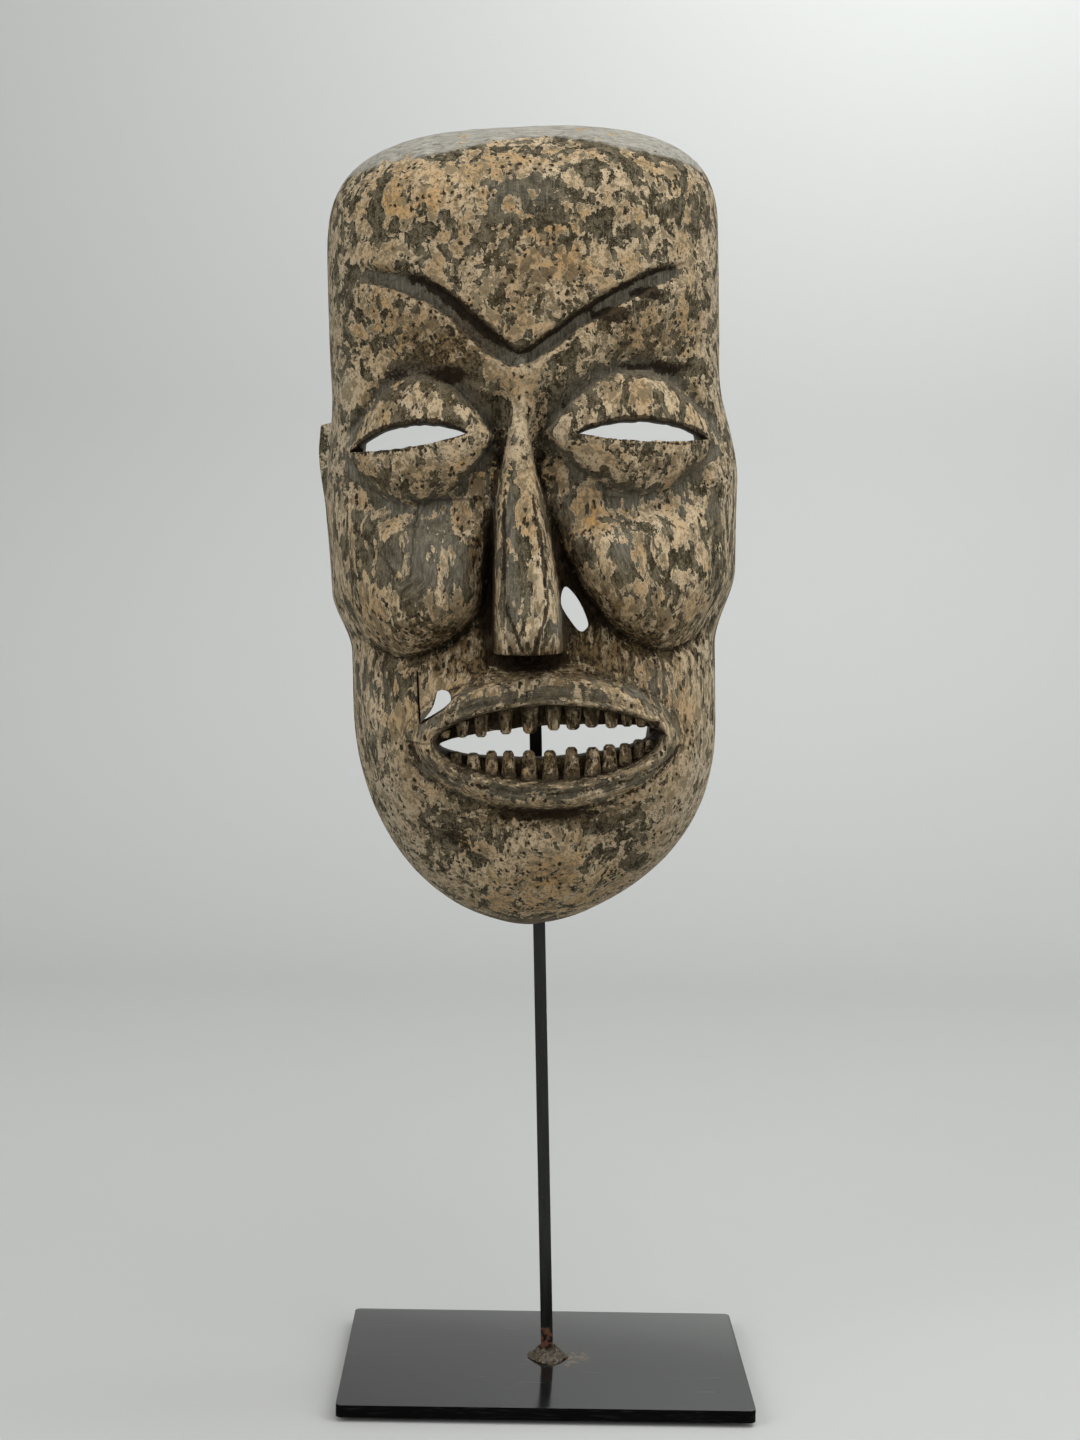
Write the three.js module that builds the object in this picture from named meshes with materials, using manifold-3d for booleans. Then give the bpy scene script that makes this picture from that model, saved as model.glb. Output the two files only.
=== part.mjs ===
// A carved wooden face mask held up by a bent square rod on a small steel plate with four felt pads.
// Millimetres. +Z is up and the mask looks along -Y. The origin is on the ground under the middle of the whole.
import * as THREE from "three";
import { mergeVertices } from "three/addons/utils/BufferGeometryUtils.js";
import Module from "manifold-3d";

// Stand
const PLATE_WIDTH = 200;
const PLATE_DEPTH = 130;
const PLATE_THICKNESS = 6;
const PLATE_CORNER_RADIUS = 3;
const PAD_DIAMETER = 15;
const PAD_THICKNESS = 2.5;
const PAD_INSET = 5.5;
const ROD_SIZE = 6;
const ROD_OFFSET_X = 1.5;
const ROD_LEAN_DEG = 2.2;
const HOOK_BEND_RADIUS = 16;
const HOOK_BEND_DEG = 55;
const HOOK_REACH = 24;
const WELD_RADIUS = 11.5;
const WELD_HEIGHT = 7;
const TOUCH_GAP = 0.3;

// Mask
const MASK_HEIGHT = 381.3;
const MASK_WIDTH = 187.5;
const MASK_DEPTH = 90;
const CHIN_HEIGHT = 222.7;
const FRONT_WALL = 21;
const TEMPLE_WALL = 17;
const JAW_WALL = 30;
const CROWN_WALL = 17;
const CHIN_WALL = 42;
const UPPER_TEETH = 11;
const LOWER_TEETH = 12;

// The carving is laid out on a drawing of the face, then stretched to the mask's own width, height and depth.
// On the drawing x runs to the viewer's right, z up and t forward from the flat back rim.
const DRAWING = { width: 187.5, depth: 90, chin: -2.3, crown: 379 };
const OUTLINE = {
  left: { forehead: 95.7, jaw: 88.6, cheek: 8.7, cheekFrom: 163, cheekTo: 196, cheekEnd: 262,
    crownStart: 314, crownPower: 3.16, jawTop: 107.8, jawPower: 2.03, jawRoot: 0.49 },
  right: { forehead: 91.8, jaw: 87.9, cheek: 10.1, cheekFrom: 171, cheekTo: 212, cheekEnd: 266,
    crownStart: 322, crownPower: 3.42, jawTop: 104.4, jawPower: 2.6, jawRoot: 0.7 },
};
const MIDDLE_DEPTH = [[0, 78], [110, 80], [190, 84], [262, 88], [325, 90], [352, 88], [379, 78]];
const SECTION_POWER = 2.5;
const HOLLOW_POWER = 4;
const BROW = {
  line: [[-92, 312], [-71, 310], [-50, 304], [-37, 297], [-22, 283.5], [-11, 274], [-4.4, 270],
    [7, 276.5], [23, 287.5], [41, 298], [62, 307.5], [92, 311]],
  middle: 290,
};
const EYES = [
  { left: [-87, 226.5], right: [-17, 232], above: 32, below: 27 },
  { left: [6, 233.5], right: [89, 230], above: 30, below: 26 },
];
const SLITS = [
  { left: [-84, 227.6], right: [-28.5, 233.6], above: 7.6, below: 2.8 },
  { left: [20, 232.6], right: [82, 230.4], above: 6.8, below: 2.8 },
];
const CHEEKS = [
  [[-17.5, 222], [-18.5, 200], [-20.8, 180], [-22.4, 163], [-27.2, 151.8], [-36.5, 142.9], [-48, 136.3],
    [-60, 132], [-75.4, 136.8], [-87, 146.2], [-97, 160], [-125, 190], [-125, 240], [-60, 240]],
  [[6, 222], [8.5, 203], [12, 188], [16.6, 174], [25.4, 157.7], [36.6, 144.7], [50.2, 136.7],
    [61.6, 134], [75.4, 138.4], [84.7, 147.4], [98, 158], [125, 190], [125, 240], [50, 240]],
];
const NOSE = {
  bottom: 134.4,
  top: 266,
  centre: [[134, -3.2], [181, -5], [212, -6.5], [250, -5.2], [268, -4.6]],
  halfWidth: [[134, 13], [159, 12.2], [181, 10.8], [203, 9.2], [220, 6], [240, 3], [258, 2.8], [268, 3.4]],
  facet: [[134, 2], [142, 4.5], [155, 8.4], [172, 8.6], [203, 6], [229, 3], [268, 1.5]],
  height: [[134, 28], [159, 23], [181, 16.5], [203, 9.5], [229, 2.5], [247, -2], [268, -2.5]],
};
const LIPS = { x: 3.5, z: 94, halfWidth: 61, above: 31, below: 31.5, proud: 11, ground: -1.5 };
const MOUTH = { x: 5, z: 94, halfWidth: 54.5, above: 17.5, below: 20, recess: 6 };
const GAP = { left: [-46.5, 91.5], right: [59.5, 95.5], above: 7.2, below: 8.4 };
const TEETH = [
  { count: UPPER_TEETH, from: -42.5, to: 53.7, root: 17.5, tip: 4.2 },
  { count: LOWER_TEETH, from: -37.7, to: 52, root: -20, tip: -4.6 },
];
const TOOTH = { wide: 8.6, narrow: 4.6, taper: 0.62, depth: 8 };
const NOSTRIL_HOLE = [[14.5, 164], [12, 158.6], [13.4, 153], [20.2, 143.6], [23.9, 144.5], [24.4, 148], [20.4, 157.5]];
const CORNER_HOLE = [[-45.4, 117], [-40.7, 117.4], [-38.9, 113.6], [-41.8, 109.5], [-48.4, 105], [-53.6, 102.3], [-48.3, 108.7]];
const CRACK = [[-55, 126.5], [-54, 126], [-53.2, 102.6], [-54.2, 102.6]];
const EAR_RIDGE = { from: 200, to: 243.5, depth: 20, proud: 5 };

const radians = (degrees) => (degrees * Math.PI) / 180;
const mix = (a, b, share) => a + (b - a) * share;
const clamp01 = (v) => Math.min(1, Math.max(0, v));
const ease = (from, to, v) => {
  const s = clamp01((v - from) / (to - from));
  return s * s * (3 - 2 * s);
};
const hump = (v, middle, spread) => Math.exp(-(((v - middle) / spread) ** 2));
const softMax = (a, b, blend) => {
  const s = clamp01(0.5 + (0.5 * (a - b)) / blend);
  return mix(b, a, s) + blend * s * (1 - s);
};
const signedPower = (v, power) => Math.sign(v) * Math.abs(v) ** power;

// A smooth curve through a few points of rising abscissa, level beyond both ends.
function through(points) {
  const slope = points.map((p, i) => {
    const before = points[Math.max(i - 1, 0)];
    const after = points[Math.min(i + 1, points.length - 1)];
    return i === 0 || i === points.length - 1 ? 0 : (after[1] - before[1]) / (after[0] - before[0]);
  });
  return (v) => {
    const last = points.length - 1;
    if (v <= points[0][0]) return points[0][1];
    if (v >= points[last][0]) return points[last][1];
    const i = points.findIndex((p) => p[0] > v) - 1;
    const span = points[i + 1][0] - points[i][0];
    const s = (v - points[i][0]) / span;
    return (
      points[i][1] * (2 * s ** 3 - 3 * s ** 2 + 1) +
      slope[i] * span * (s ** 3 - 2 * s ** 2 + s) +
      points[i + 1][1] * (-2 * s ** 3 + 3 * s ** 2) +
      slope[i + 1] * span * (s ** 3 - s ** 2)
    );
  };
}

const browLine = through(BROW.line);
const middleDepth = through(MIDDLE_DEPTH);
const noseCentre = through(NOSE.centre);
const noseHalfWidth = through(NOSE.halfWidth);
const noseFacet = through(NOSE.facet);
const noseHeight = through(NOSE.height);

// A value of the left side passing gently into that of the right.
const bySide = (side, key) => mix(OUTLINE.left[key], OUTLINE.right[key], ease(-0.4, 0.4, side));

// How full the egg-shaped outline is at a height: 1 along the sides, falling to 0 at the crown and the chin.
function fullness(z, side) {
  const start = bySide(side, "crownStart");
  const power = bySide(side, "crownPower");
  const jawTop = bySide(side, "jawTop");
  const up = clamp01((z - start) / (DRAWING.crown - start));
  const down = clamp01((jawTop - z) / (jawTop - DRAWING.chin));
  return (1 - up ** power) ** (1 / power) * (1 - down ** bySide(side, "jawPower")) ** bySide(side, "jawRoot");
}

// The half width of the outline on one side, with the cheek bulging out over the jaw.
function outlineHalfWidth(z, side) {
  const low = mix(bySide(side, "jaw"), bySide(side, "forehead"), ease(150, 285, z));
  const bulge = ({ cheekFrom, cheekTo, cheekEnd }) => ease(NOSE.bottom, cheekFrom, z) * (1 - ease(cheekTo, cheekEnd, z));
  const cheek = mix(bulge(OUTLINE.left), bulge(OUTLINE.right), ease(-0.4, 0.4, side));
  return (low + bySide(side, "cheek") * cheek) * fullness(z, side);
}

// The depth of the plain form along its middle, before any carving.
const plainDepth = (z, side) => middleDepth(z) * fullness(z, side);

// The distance from a point to a closed outline: positive inside it, negative outside.
function insideDistance(x, z, outline) {
  let nearest = Infinity;
  let inside = false;
  outline.forEach(([ax, az], i) => {
    const [bx, bz] = outline[(i + 1) % outline.length];
    const [dx, dz] = [bx - ax, bz - az];
    const s = clamp01(((x - ax) * dx + (z - az) * dz) / (dx * dx + dz * dz));
    nearest = Math.min(nearest, Math.hypot(x - ax - s * dx, z - az - s * dz));
    if (az > z !== bz > z && x < ax + ((z - az) * dx) / dz) inside = !inside;
  });
  return inside ? nearest : -nearest;
}

// A closed smooth curve through the given corners.
function roundedOutline(corners, perSide = 4) {
  const count = corners.length;
  return corners.flatMap((_, i) => {
    const [p0, p1, p2, p3] = [-1, 0, 1, 2].map((k) => corners[(i + k + count) % count]);
    return Array.from({ length: perSide }, (_, j) => {
      const s = j / perSide;
      return [0, 1].map(
        (k) =>
          0.5 *
          (2 * p1[k] + (p2[k] - p0[k]) * s + (2 * p0[k] - 5 * p1[k] + 4 * p2[k] - p3[k]) * s ** 2 +
            (3 * p1[k] - p0[k] - 3 * p2[k] + p3[k]) * s ** 3),
      );
    });
  });
}

const cheekOutlines = CHEEKS.map((corners) => roundedOutline(corners));

// How far along an almond shape a point is, from -1 to 1, and how far out from its long axis: 1 on the rim.
function almondShares(x, z, { left, right, above, below }) {
  const along = (x - (left[0] + right[0]) / 2) / ((right[0] - left[0]) / 2);
  const axis = mix(left[1], right[1], (along + 1) / 2);
  const half = (z > axis ? above : below) * Math.max(1 - along ** 2, 1e-4);
  return [along, Math.abs(along) < 1 ? Math.abs(z - axis) / half : 9];
}

// The share of a pointed oval that a point is out from its middle: 1 is on the rim.
function lensShare(x, z, lens) {
  const across = Math.abs((x - lens.x) / lens.halfWidth);
  const halfHeight = z > lens.z ? lens.above : lens.below;
  return (across ** 1.75 + Math.abs((z - lens.z) / halfHeight) ** 1.9) ** 0.54;
}

// The sunk ground of the face: a groove under the brow, a crest, and sockets that slope back from it.
function faceGround(x, z) {
  const slope = (browLine(x + 3) - browLine(x - 3)) / 6;
  const below = (browLine(x) - z) / Math.hypot(1, slope);
  const near = (1 - ease(58, 84, Math.abs(x + 4))) * ease(230, 262, z + 0.3 * Math.abs(x));
  const shelf = -7 * ease(-2, 2, below) + 6 * ease(4.5, 9, below);
  const socket = -8.5 * ease(9, 44, below) * ease(104, 146, z) * (1 - ease(70, 92, Math.abs(x)));
  const beside = 6.5 * hump(x, -4, 30) * hump(z, 158, 40);
  const underNose = 9 * hump(z, 127, 7) * hump(x, -3, 17);
  const besideBridge = 7 * (hump(x, -14.5, 5.5) + hump(x, 4, 5)) * ease(200, 216, z) * (1 - ease(244, 262, z));
  return near * shelf + socket - beside - underNose - besideBridge;
}

function eyeDome(x, z, eye) {
  const [along, out] = almondShares(x, z, eye);
  const bow = Math.max(1 - along ** 2, 0);
  return out < 1 ? -10.5 + 16 * (1 - out ** 2.4) ** 0.5 * bow ** 0.35 : -40;
}

function eyeCrease(x, z, eye) {
  const [along, out] = almondShares(x, z, eye);
  const away = (out - 1) * ((eye.above + eye.below) / 2) * Math.max(1 - along ** 2, 0.04);
  return Math.abs(along) < 1 ? 3.5 * hump(away, 1.5, 4.5) : 0;
}

function cheekPouch(x, z, inside) {
  const swell = 1 - (1 - clamp01(inside / 27)) ** 2.4;
  const underEye = ease(186, 207, z + 0.1 * (70 - Math.abs(x))) * (1 - ease(66, 94, Math.abs(x)));
  const sag = mix(1, 0.6, ease(150, 210, z)) * mix(1, 0.1, underEye);
  return inside > 0 ? -12 + 22 * sag * swell ** 0.55 : -40;
}

// The cut that sets a cheek off from the mouth and the nose.
function cheekGroove(x, z, inside) {
  const near = (1 - ease(60, 86, Math.abs(x))) * (1 - ease(186, 205, z));
  return inside < 0 ? 3.5 * hump(-inside, 1, 3) * near : 0;
}

function noseRidge(x, z) {
  const out = Math.abs(x - noseCentre(z));
  const flank = 0.55 * Math.max(0, out - noseFacet(z));
  const wall = 6 * Math.max(0, out - noseHalfWidth(z));
  const under = 30 * Math.max(0, NOSE.bottom - z);
  const above = 2 * Math.max(0, z - NOSE.top);
  return noseHeight(z) - flank - wall - under - above;
}

function lipsAndMouth(x, z, ground) {
  const outer = lensShare(x, z, LIPS);
  const inner = lensShare(x, z, MOUTH);
  const base = mix(ground, LIPS.ground, ease(1.22, 1, outer));
  return base + LIPS.proud * ease(1.08, 0.9, outer) - (LIPS.proud + MOUTH.recess) * ease(1.02, 0.88, inner);
}

function chinForm(x, z) {
  const lobe = 7 * (1 - ease(0.62, 1.05, Math.hypot((x - 1) / 30, (z - 22) / 34)));
  const hollows = 5 * (hump(x, -41, 14) + hump(x, 38, 13)) * hump(z, 44, 14);
  const crease = 5 * hump(z, 59, 4.5) * hump(x, 1, 34);
  return lobe - hollows - crease;
}

// How far the carving stands forward of the plain form, or is cut back into it.
function carving(x, z) {
  let height = faceGround(x, z);
  for (const eye of EYES) height = softMax(height - eyeCrease(x, z, eye), eyeDome(x, z, eye), 1.5);
  for (const outline of cheekOutlines) {
    const inside = insideDistance(x, z, outline);
    height = softMax(height - cheekGroove(x, z, inside), cheekPouch(x, z, inside), 1.5);
  }
  height += chinForm(x, z);
  height = lipsAndMouth(x, z, height);
  return softMax(height, noseRidge(x, z), 1.5);
}

const wide = MASK_WIDTH / DRAWING.width;
const deep = MASK_DEPTH / DRAWING.depth;
const tall = MASK_HEIGHT / (DRAWING.crown - DRAWING.chin);
const toMask = ([x, t, z]) => [x * wide, -t * deep, (z - DRAWING.chin) * tall];

// The rows of the grid bend to run along the brow line.
function bentHeight(row, across) {
  const x = (across * DRAWING.width) / 2;
  const near = ease(215, 284, row) * (1 - ease(302, 366, row));
  return row + near * (browLine(x) - BROW.middle) * (1 - ease(66, 88, Math.abs(x)));
}

// A point of the carved front, in a row and at an angle round the section from -90 at the left rim to 90.
function frontPoint(row, turn) {
  const across = signedPower(Math.sin(turn), 2 / SECTION_POWER);
  const z = bentHeight(row, across);
  const forward = Math.abs(Math.cos(turn)) ** (2 / SECTION_POWER);
  const x = across * outlineHalfWidth(z, across);
  const fade = fullness(z, across) ** 0.5 * (1 - ease(0.9, 0.995, Math.abs(across)));
  const t = forward * plainDepth(z, across) + carving(x, z) * fade;
  const onEar = ease(EAR_RIDGE.from, EAR_RIDGE.from + 34, z) * (z < EAR_RIDGE.to ? 1 : 0) * (across < 0 ? 1 : 0);
  const ear = EAR_RIDGE.proud * onEar * (1 - ease(EAR_RIDGE.depth - 4, EAR_RIDGE.depth, t));
  return toMask([x - ear, Math.max(t, 0), z]);
}

// The hollow is the plain form less the walls. It opens through the flat back.
function hollowPoint(z, turn, low, high) {
  const up = (z - low) / (high - low);
  const end = (1 - Math.abs(2 * up - 1) ** 5) ** (1 / 3);
  const drawn = z / tall + DRAWING.chin;
  const side = outlineHalfWidth(drawn, Math.sin(turn)) * wide;
  const wall = mix(JAW_WALL, TEMPLE_WALL, ease(0.28, 0.5, z / MASK_HEIGHT));
  const depth = plainDepth(drawn, Math.sin(turn)) * deep - FRONT_WALL;
  const across = signedPower(Math.sin(turn), 2 / HOLLOW_POWER);
  const forward = Math.abs(Math.cos(turn)) ** (2 / HOLLOW_POWER);
  return [across * Math.max(side - wall, 4) * end, -forward * Math.max(depth, 4) * end, z];
}

// A closed solid from rows of points that run from left to right, with a point below and above. Its flat back
// is set off behind the rim by backReach, or closes the rim itself.
function bowl(rows, bottom, top, backReach) {
  const points = [bottom, ...rows.flat(), top];
  const columns = rows[0].length;
  const last = rows.length - 1;
  const topIndex = points.length - 1;
  const at = (row, column) => 1 + row * columns + column;
  const faces = [];
  const quad = (a, b, c, d) => faces.push(a, b, c, a, c, d);
  // Each patch of the grid is split along its shorter diagonal, so that a slanting edge stays straight.
  const apart = (a, b) => Math.hypot(...points[a].map((v, i) => v - points[b][i]));
  const patch = (a, b, c, d) => (apart(a, c) <= apart(b, d) ? quad(a, b, c, d) : quad(b, c, d, a));
  for (let r = 0; r < last; r++)
    for (let c = 0; c + 1 < columns; c++) patch(at(r, c), at(r, c + 1), at(r + 1, c + 1), at(r + 1, c));
  for (let c = 0; c + 1 < columns; c++) {
    faces.push(0, at(0, c + 1), at(0, c));
    faces.push(topIndex, at(last, c), at(last, c + 1));
  }
  const right = rows.map((_, r) => at(r, columns - 1));
  const left = rows.map((_, r) => at(r, 0));
  const rim = [0, ...right, topIndex, ...left.toReversed()];
  const behind = new Map(rim.map((index) => [index, index]));
  if (backReach) {
    for (const index of rim) {
      const [x, y, z] = points[index];
      behind.set(index, points.push([x, y + backReach, z]) - 1);
    }
    rim.forEach((index, i) => {
      const next = rim[(i + 1) % rim.length];
      quad(index, behind.get(index), behind.get(next), next);
    });
  }
  const backLeft = left.map((index) => behind.get(index));
  const backRight = right.map((index) => behind.get(index));
  for (let r = 0; r < last; r++) quad(backRight[r], backLeft[r], backLeft[r + 1], backRight[r + 1]);
  faces.push(behind.get(0), backLeft[0], backRight[0]);
  faces.push(behind.get(topIndex), backRight[last], backLeft[last]);
  const geometry = new THREE.BufferGeometry();
  geometry.setAttribute("position", new THREE.Float32BufferAttribute(points.flat(), 3));
  geometry.setIndex(faces);
  return geometry;
}

const wasm = await Module();
wasm.setup();

function toSolid(geometry) {
  const plain = geometry.clone();
  plain.deleteAttribute("normal");
  plain.deleteAttribute("uv");
  const merged = mergeVertices(plain, 1e-4);
  return new wasm.Manifold(
    new wasm.Mesh({
      numProp: 3,
      vertProperties: new Float32Array(merged.attributes.position.array),
      triVerts: new Uint32Array(merged.index.array),
    }),
  );
}

function toGeometry(solid) {
  const mesh = solid.getMesh();
  const geometry = new THREE.BufferGeometry();
  geometry.setAttribute("position", new THREE.BufferAttribute(mesh.vertProperties, 3));
  geometry.setIndex(new THREE.BufferAttribute(mesh.triVerts, 1));
  return geometry;
}

const spread = (from, to, count) => Array.from({ length: count }, (_, i) => mix(from, to, i / count));

// Heights of the rows of the carved front: close together where the carving turns quickly.
function rowHeights() {
  const { chin, crown } = DRAWING;
  const lipsLow = LIPS.z - LIPS.below - 10;
  return [
    ...[0.8, 2.5, 5, 9, 15, 22, 30, 38, 46].map((up) => chin + up),
    ...spread(lipsLow, NOSE.bottom - 0.9, 20),
    NOSE.bottom - 0.9,
    ...spread(NOSE.bottom, EAR_RIDGE.from, 13),
    ...spread(EAR_RIDGE.from, EAR_RIDGE.to - 0.3, 9),
    EAR_RIDGE.to - 0.3,
    ...spread(EAR_RIDGE.to + 0.3, NOSE.top, 5),
    ...spread(NOSE.top, BROW.middle + 12, 10),
    ...spread(BROW.middle + 12, crown - 29, 5),
    ...[29, 20, 13, 7.5, 3.5, 1.2, 0.3].map((down) => crown - down),
  ];
}

// Angles round the section, spaced so that the columns are closest over the nose.
function columnTurns(count) {
  return Array.from({ length: count + 1 }, (_, i) => radians(90 * signedPower((2 * i) / count - 1, 1.6)));
}

function carvedFront() {
  const turns = columnTurns(42);
  const rows = rowHeights().map((z) => turns.map((turn) => frontPoint(z, turn)));
  return bowl(rows, toMask([0, 0, DRAWING.chin]), toMask([0, 0, DRAWING.crown]), 0);
}

function hollow() {
  const low = CHIN_WALL;
  const high = MASK_HEIGHT - CROWN_WALL;
  const shares = [0.015, 0.05, 0.11, 0.2, 0.3, 0.4, 0.5, 0.6, 0.7, 0.8, 0.89, 0.95, 0.985];
  const turns = Array.from({ length: 17 }, (_, i) => radians(-90 + (180 * i) / 16));
  const rows = shares.map((share) => turns.map((turn) => hollowPoint(mix(low, high, share), turn, low, high)));
  return bowl(rows, [0, 0, low], [0, 0, high], 6);
}

// A prism with an outline in the face's plane, from a depth t behind the face to well in front of it.
function cutThrough(outline, fromDepth) {
  const shape = new THREE.Shape(outline.map(([x, z]) => new THREE.Vector2(x * wide, (z - DRAWING.chin) * tall)));
  const length = MASK_DEPTH * 1.6 - fromDepth;
  const prism = new THREE.ExtrudeGeometry(shape, { depth: length, bevelEnabled: false });
  prism.rotateX(Math.PI / 2);
  prism.translate(0, -fromDepth, 0);
  return toSolid(prism);
}

function almond({ left, right, above, below }, steps = 14) {
  const shares = Array.from({ length: steps + 1 }, (_, i) => (2 * i) / steps - 1);
  const point = (s, bow) => [
    mix(left[0], right[0], (s + 1) / 2),
    mix(left[1], right[1], (s + 1) / 2) + bow * Math.max(1 - s ** 2, 0) ** 0.9,
  ];
  const lower = shares.map((s) => point(s, -below));
  const upper = shares.slice(1, -1).map((s) => point(s, above));
  return [...lower, ...upper.reverse()];
}

// The depth of the carved face at a place on the drawing.
function faceDepth(x, z) {
  const across = x / outlineHalfWidth(z, Math.sign(x));
  const [, y] = frontPoint(z, Math.asin(signedPower(across, SECTION_POWER / 2)));
  return -y;
}

// One row of tapering teeth, packed closer towards the corners of the mouth.
function toothRow({ count, from, to, root, tip }) {
  const turnAt = (x) => Math.asin((x - MOUTH.x) / MOUTH.halfWidth);
  return Array.from({ length: count }, (_, i) => {
    const x = MOUTH.x + MOUTH.halfWidth * Math.sin(mix(turnAt(from), turnAt(to), i / (count - 1)));
    const across = (x - MOUTH.x) / MOUTH.halfWidth;
    const bow = Math.max(1 - Math.abs(across) ** 1.9, 0.05) ** 0.6;
    const rootZ = MOUTH.z + root * bow + 2.2 * across;
    const tipZ = MOUTH.z + tip * bow ** 0.5 + 2.2 * across;
    const half = mix(TOOTH.narrow, TOOTH.wide, bow) / 2;
    const corners = [[-half, rootZ], [half, rootZ], [half * TOOTH.taper, tipZ], [-half * TOOTH.taper, tipZ]];
    const shape = new THREE.Shape(
      corners.map(([dx, z]) => new THREE.Vector2((x + dx) * wide, (z - DRAWING.chin) * tall)),
    );
    const tooth = new THREE.ExtrudeGeometry(shape, { depth: TOOTH.depth, bevelEnabled: false });
    tooth.rotateX(Math.PI / 2);
    tooth.translate(0, TOOTH.depth / 2 - faceDepth(x, (rootZ + tipZ) / 2), 0);
    return toSolid(tooth);
  });
}

function carvedMask() {
  let mask = toSolid(carvedFront()).subtract(toSolid(hollow()));
  for (const slit of SLITS) mask = mask.subtract(cutThrough(almond(slit), 30));
  mask = mask.subtract(cutThrough(almond(GAP), 20));
  for (const tooth of TEETH.flatMap(toothRow)) mask = mask.add(tooth);
  mask = mask.subtract(cutThrough(NOSTRIL_HOLE, 30));
  mask = mask.subtract(cutThrough(CORNER_HOLE, 20));
  return toGeometry(mask.subtract(cutThrough(CRACK, 60)));
}

// The rod is a square bar seen from the side: up the back of the mask, then bent forward into the hollow.
function supportRod() {
  const half = ROD_SIZE / 2;
  const bend = radians(HOOK_BEND_DEG);
  const tipT = HOOK_BEND_RADIUS * (1 - Math.cos(bend)) + HOOK_REACH * Math.sin(bend);
  const tipRise = HOOK_BEND_RADIUS * Math.sin(bend) + HOOK_REACH * Math.cos(bend);
  const hollowTop = MASK_HEIGHT - CROWN_WALL;
  const roofDrop = roofDropAt(tipT + half);
  const bendStart = CHIN_HEIGHT + hollowTop - roofDrop - TOUCH_GAP - tipRise - half;
  const shape = new THREE.Shape();
  shape.moveTo(half, TOUCH_GAP);
  shape.lineTo(half, bendStart);
  shape.absarc(HOOK_BEND_RADIUS, bendStart, HOOK_BEND_RADIUS - half, Math.PI, Math.PI - bend, true);
  const along = new THREE.Vector2(Math.sin(bend), Math.cos(bend));
  const inner = shape.currentPoint.clone().addScaledVector(along, HOOK_REACH);
  shape.lineTo(inner.x, inner.y);
  shape.lineTo(inner.x - ROD_SIZE * along.y, inner.y + ROD_SIZE * along.x);
  shape.absarc(HOOK_BEND_RADIUS, bendStart, HOOK_BEND_RADIUS + half, Math.PI - bend, Math.PI, false);
  shape.lineTo(-half, TOUCH_GAP);
  const bar = new THREE.ExtrudeGeometry(shape, { depth: ROD_SIZE, bevelEnabled: false, curveSegments: 12 });
  bar.translate(0, 0, -half);
  // The profile is drawn in t and z: turn t to -Y, z to Z and the thickness to X.
  bar.applyMatrix4(new THREE.Matrix4().set(0, 0, -1, 0, -1, 0, 0, 0, 0, 1, 0, 0, 0, 0, 0, 1));
  return bar;
}

// How far the roof of the hollow has come down at a distance t forward of the rod's middle.
function roofDropAt(t) {
  const high = MASK_HEIGHT - CROWN_WALL;
  const past = t - ROD_SIZE / 2;
  for (let z = high; z > CHIN_WALL; z -= 0.25) {
    const [, y] = hollowPoint(z, 0, CHIN_WALL, high);
    if (-y >= past) return high - z;
  }
  return 0;
}

// The bead of weld round the rod's foot: a lumpy cone with a square well for the rod.
function weldBead() {
  const around = 20;
  const levels = [[0, 1], [0.22, 0.86], [0.5, 0.6], [0.8, 0.46], [1, 0.38]];
  const positions = [0, 0, 0];
  levels.forEach(([up, out], level) => {
    for (let i = 0; i < around; i++) {
      const turn = (2 * Math.PI * i) / around;
      const lump = 1 + 0.1 * Math.sin(3 * turn + level) + 0.07 * Math.sin(7 * turn + 2 * level);
      const reach = WELD_RADIUS * out * lump;
      positions.push(reach * Math.cos(turn), reach * Math.sin(turn), WELD_HEIGHT * up);
    }
  });
  const top = positions.length / 3;
  positions.push(0, 0, WELD_HEIGHT);
  const faces = [];
  for (let i = 0; i < around; i++) {
    const next = (i + 1) % around;
    faces.push(0, 1 + next, 1 + i);
    for (let level = 0; level + 1 < levels.length; level++) {
      const [a, b] = [1 + level * around + i, 1 + level * around + next];
      faces.push(a, b, b + around, a, b + around, a + around);
    }
    faces.push(top, top - around + i, top - around + next);
  }
  const geometry = new THREE.BufferGeometry();
  geometry.setAttribute("position", new THREE.Float32BufferAttribute(positions, 3));
  geometry.setIndex(faces);
  const well = new THREE.BoxGeometry(ROD_SIZE + 2 * TOUCH_GAP, ROD_SIZE + 2 * TOUCH_GAP, 4 * WELD_HEIGHT);
  well.rotateY(-radians(ROD_LEAN_DEG));
  return toGeometry(toSolid(geometry).subtract(toSolid(well)));
}

function basePlate() {
  const [w, d, r] = [PLATE_WIDTH / 2, PLATE_DEPTH / 2, PLATE_CORNER_RADIUS];
  const shape = new THREE.Shape();
  shape.moveTo(-w + r, -d);
  shape.lineTo(w - r, -d);
  shape.absarc(w - r, -d + r, r, -Math.PI / 2, 0, false);
  shape.lineTo(w, d - r);
  shape.absarc(w - r, d - r, r, 0, Math.PI / 2, false);
  shape.lineTo(-w + r, d);
  shape.absarc(-w + r, d - r, r, Math.PI / 2, Math.PI, false);
  shape.lineTo(-w, -d + r);
  shape.absarc(-w + r, -d + r, r, Math.PI, 1.5 * Math.PI, false);
  return new THREE.ExtrudeGeometry(shape, { depth: PLATE_THICKNESS, bevelEnabled: false, curveSegments: 6 });
}

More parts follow.
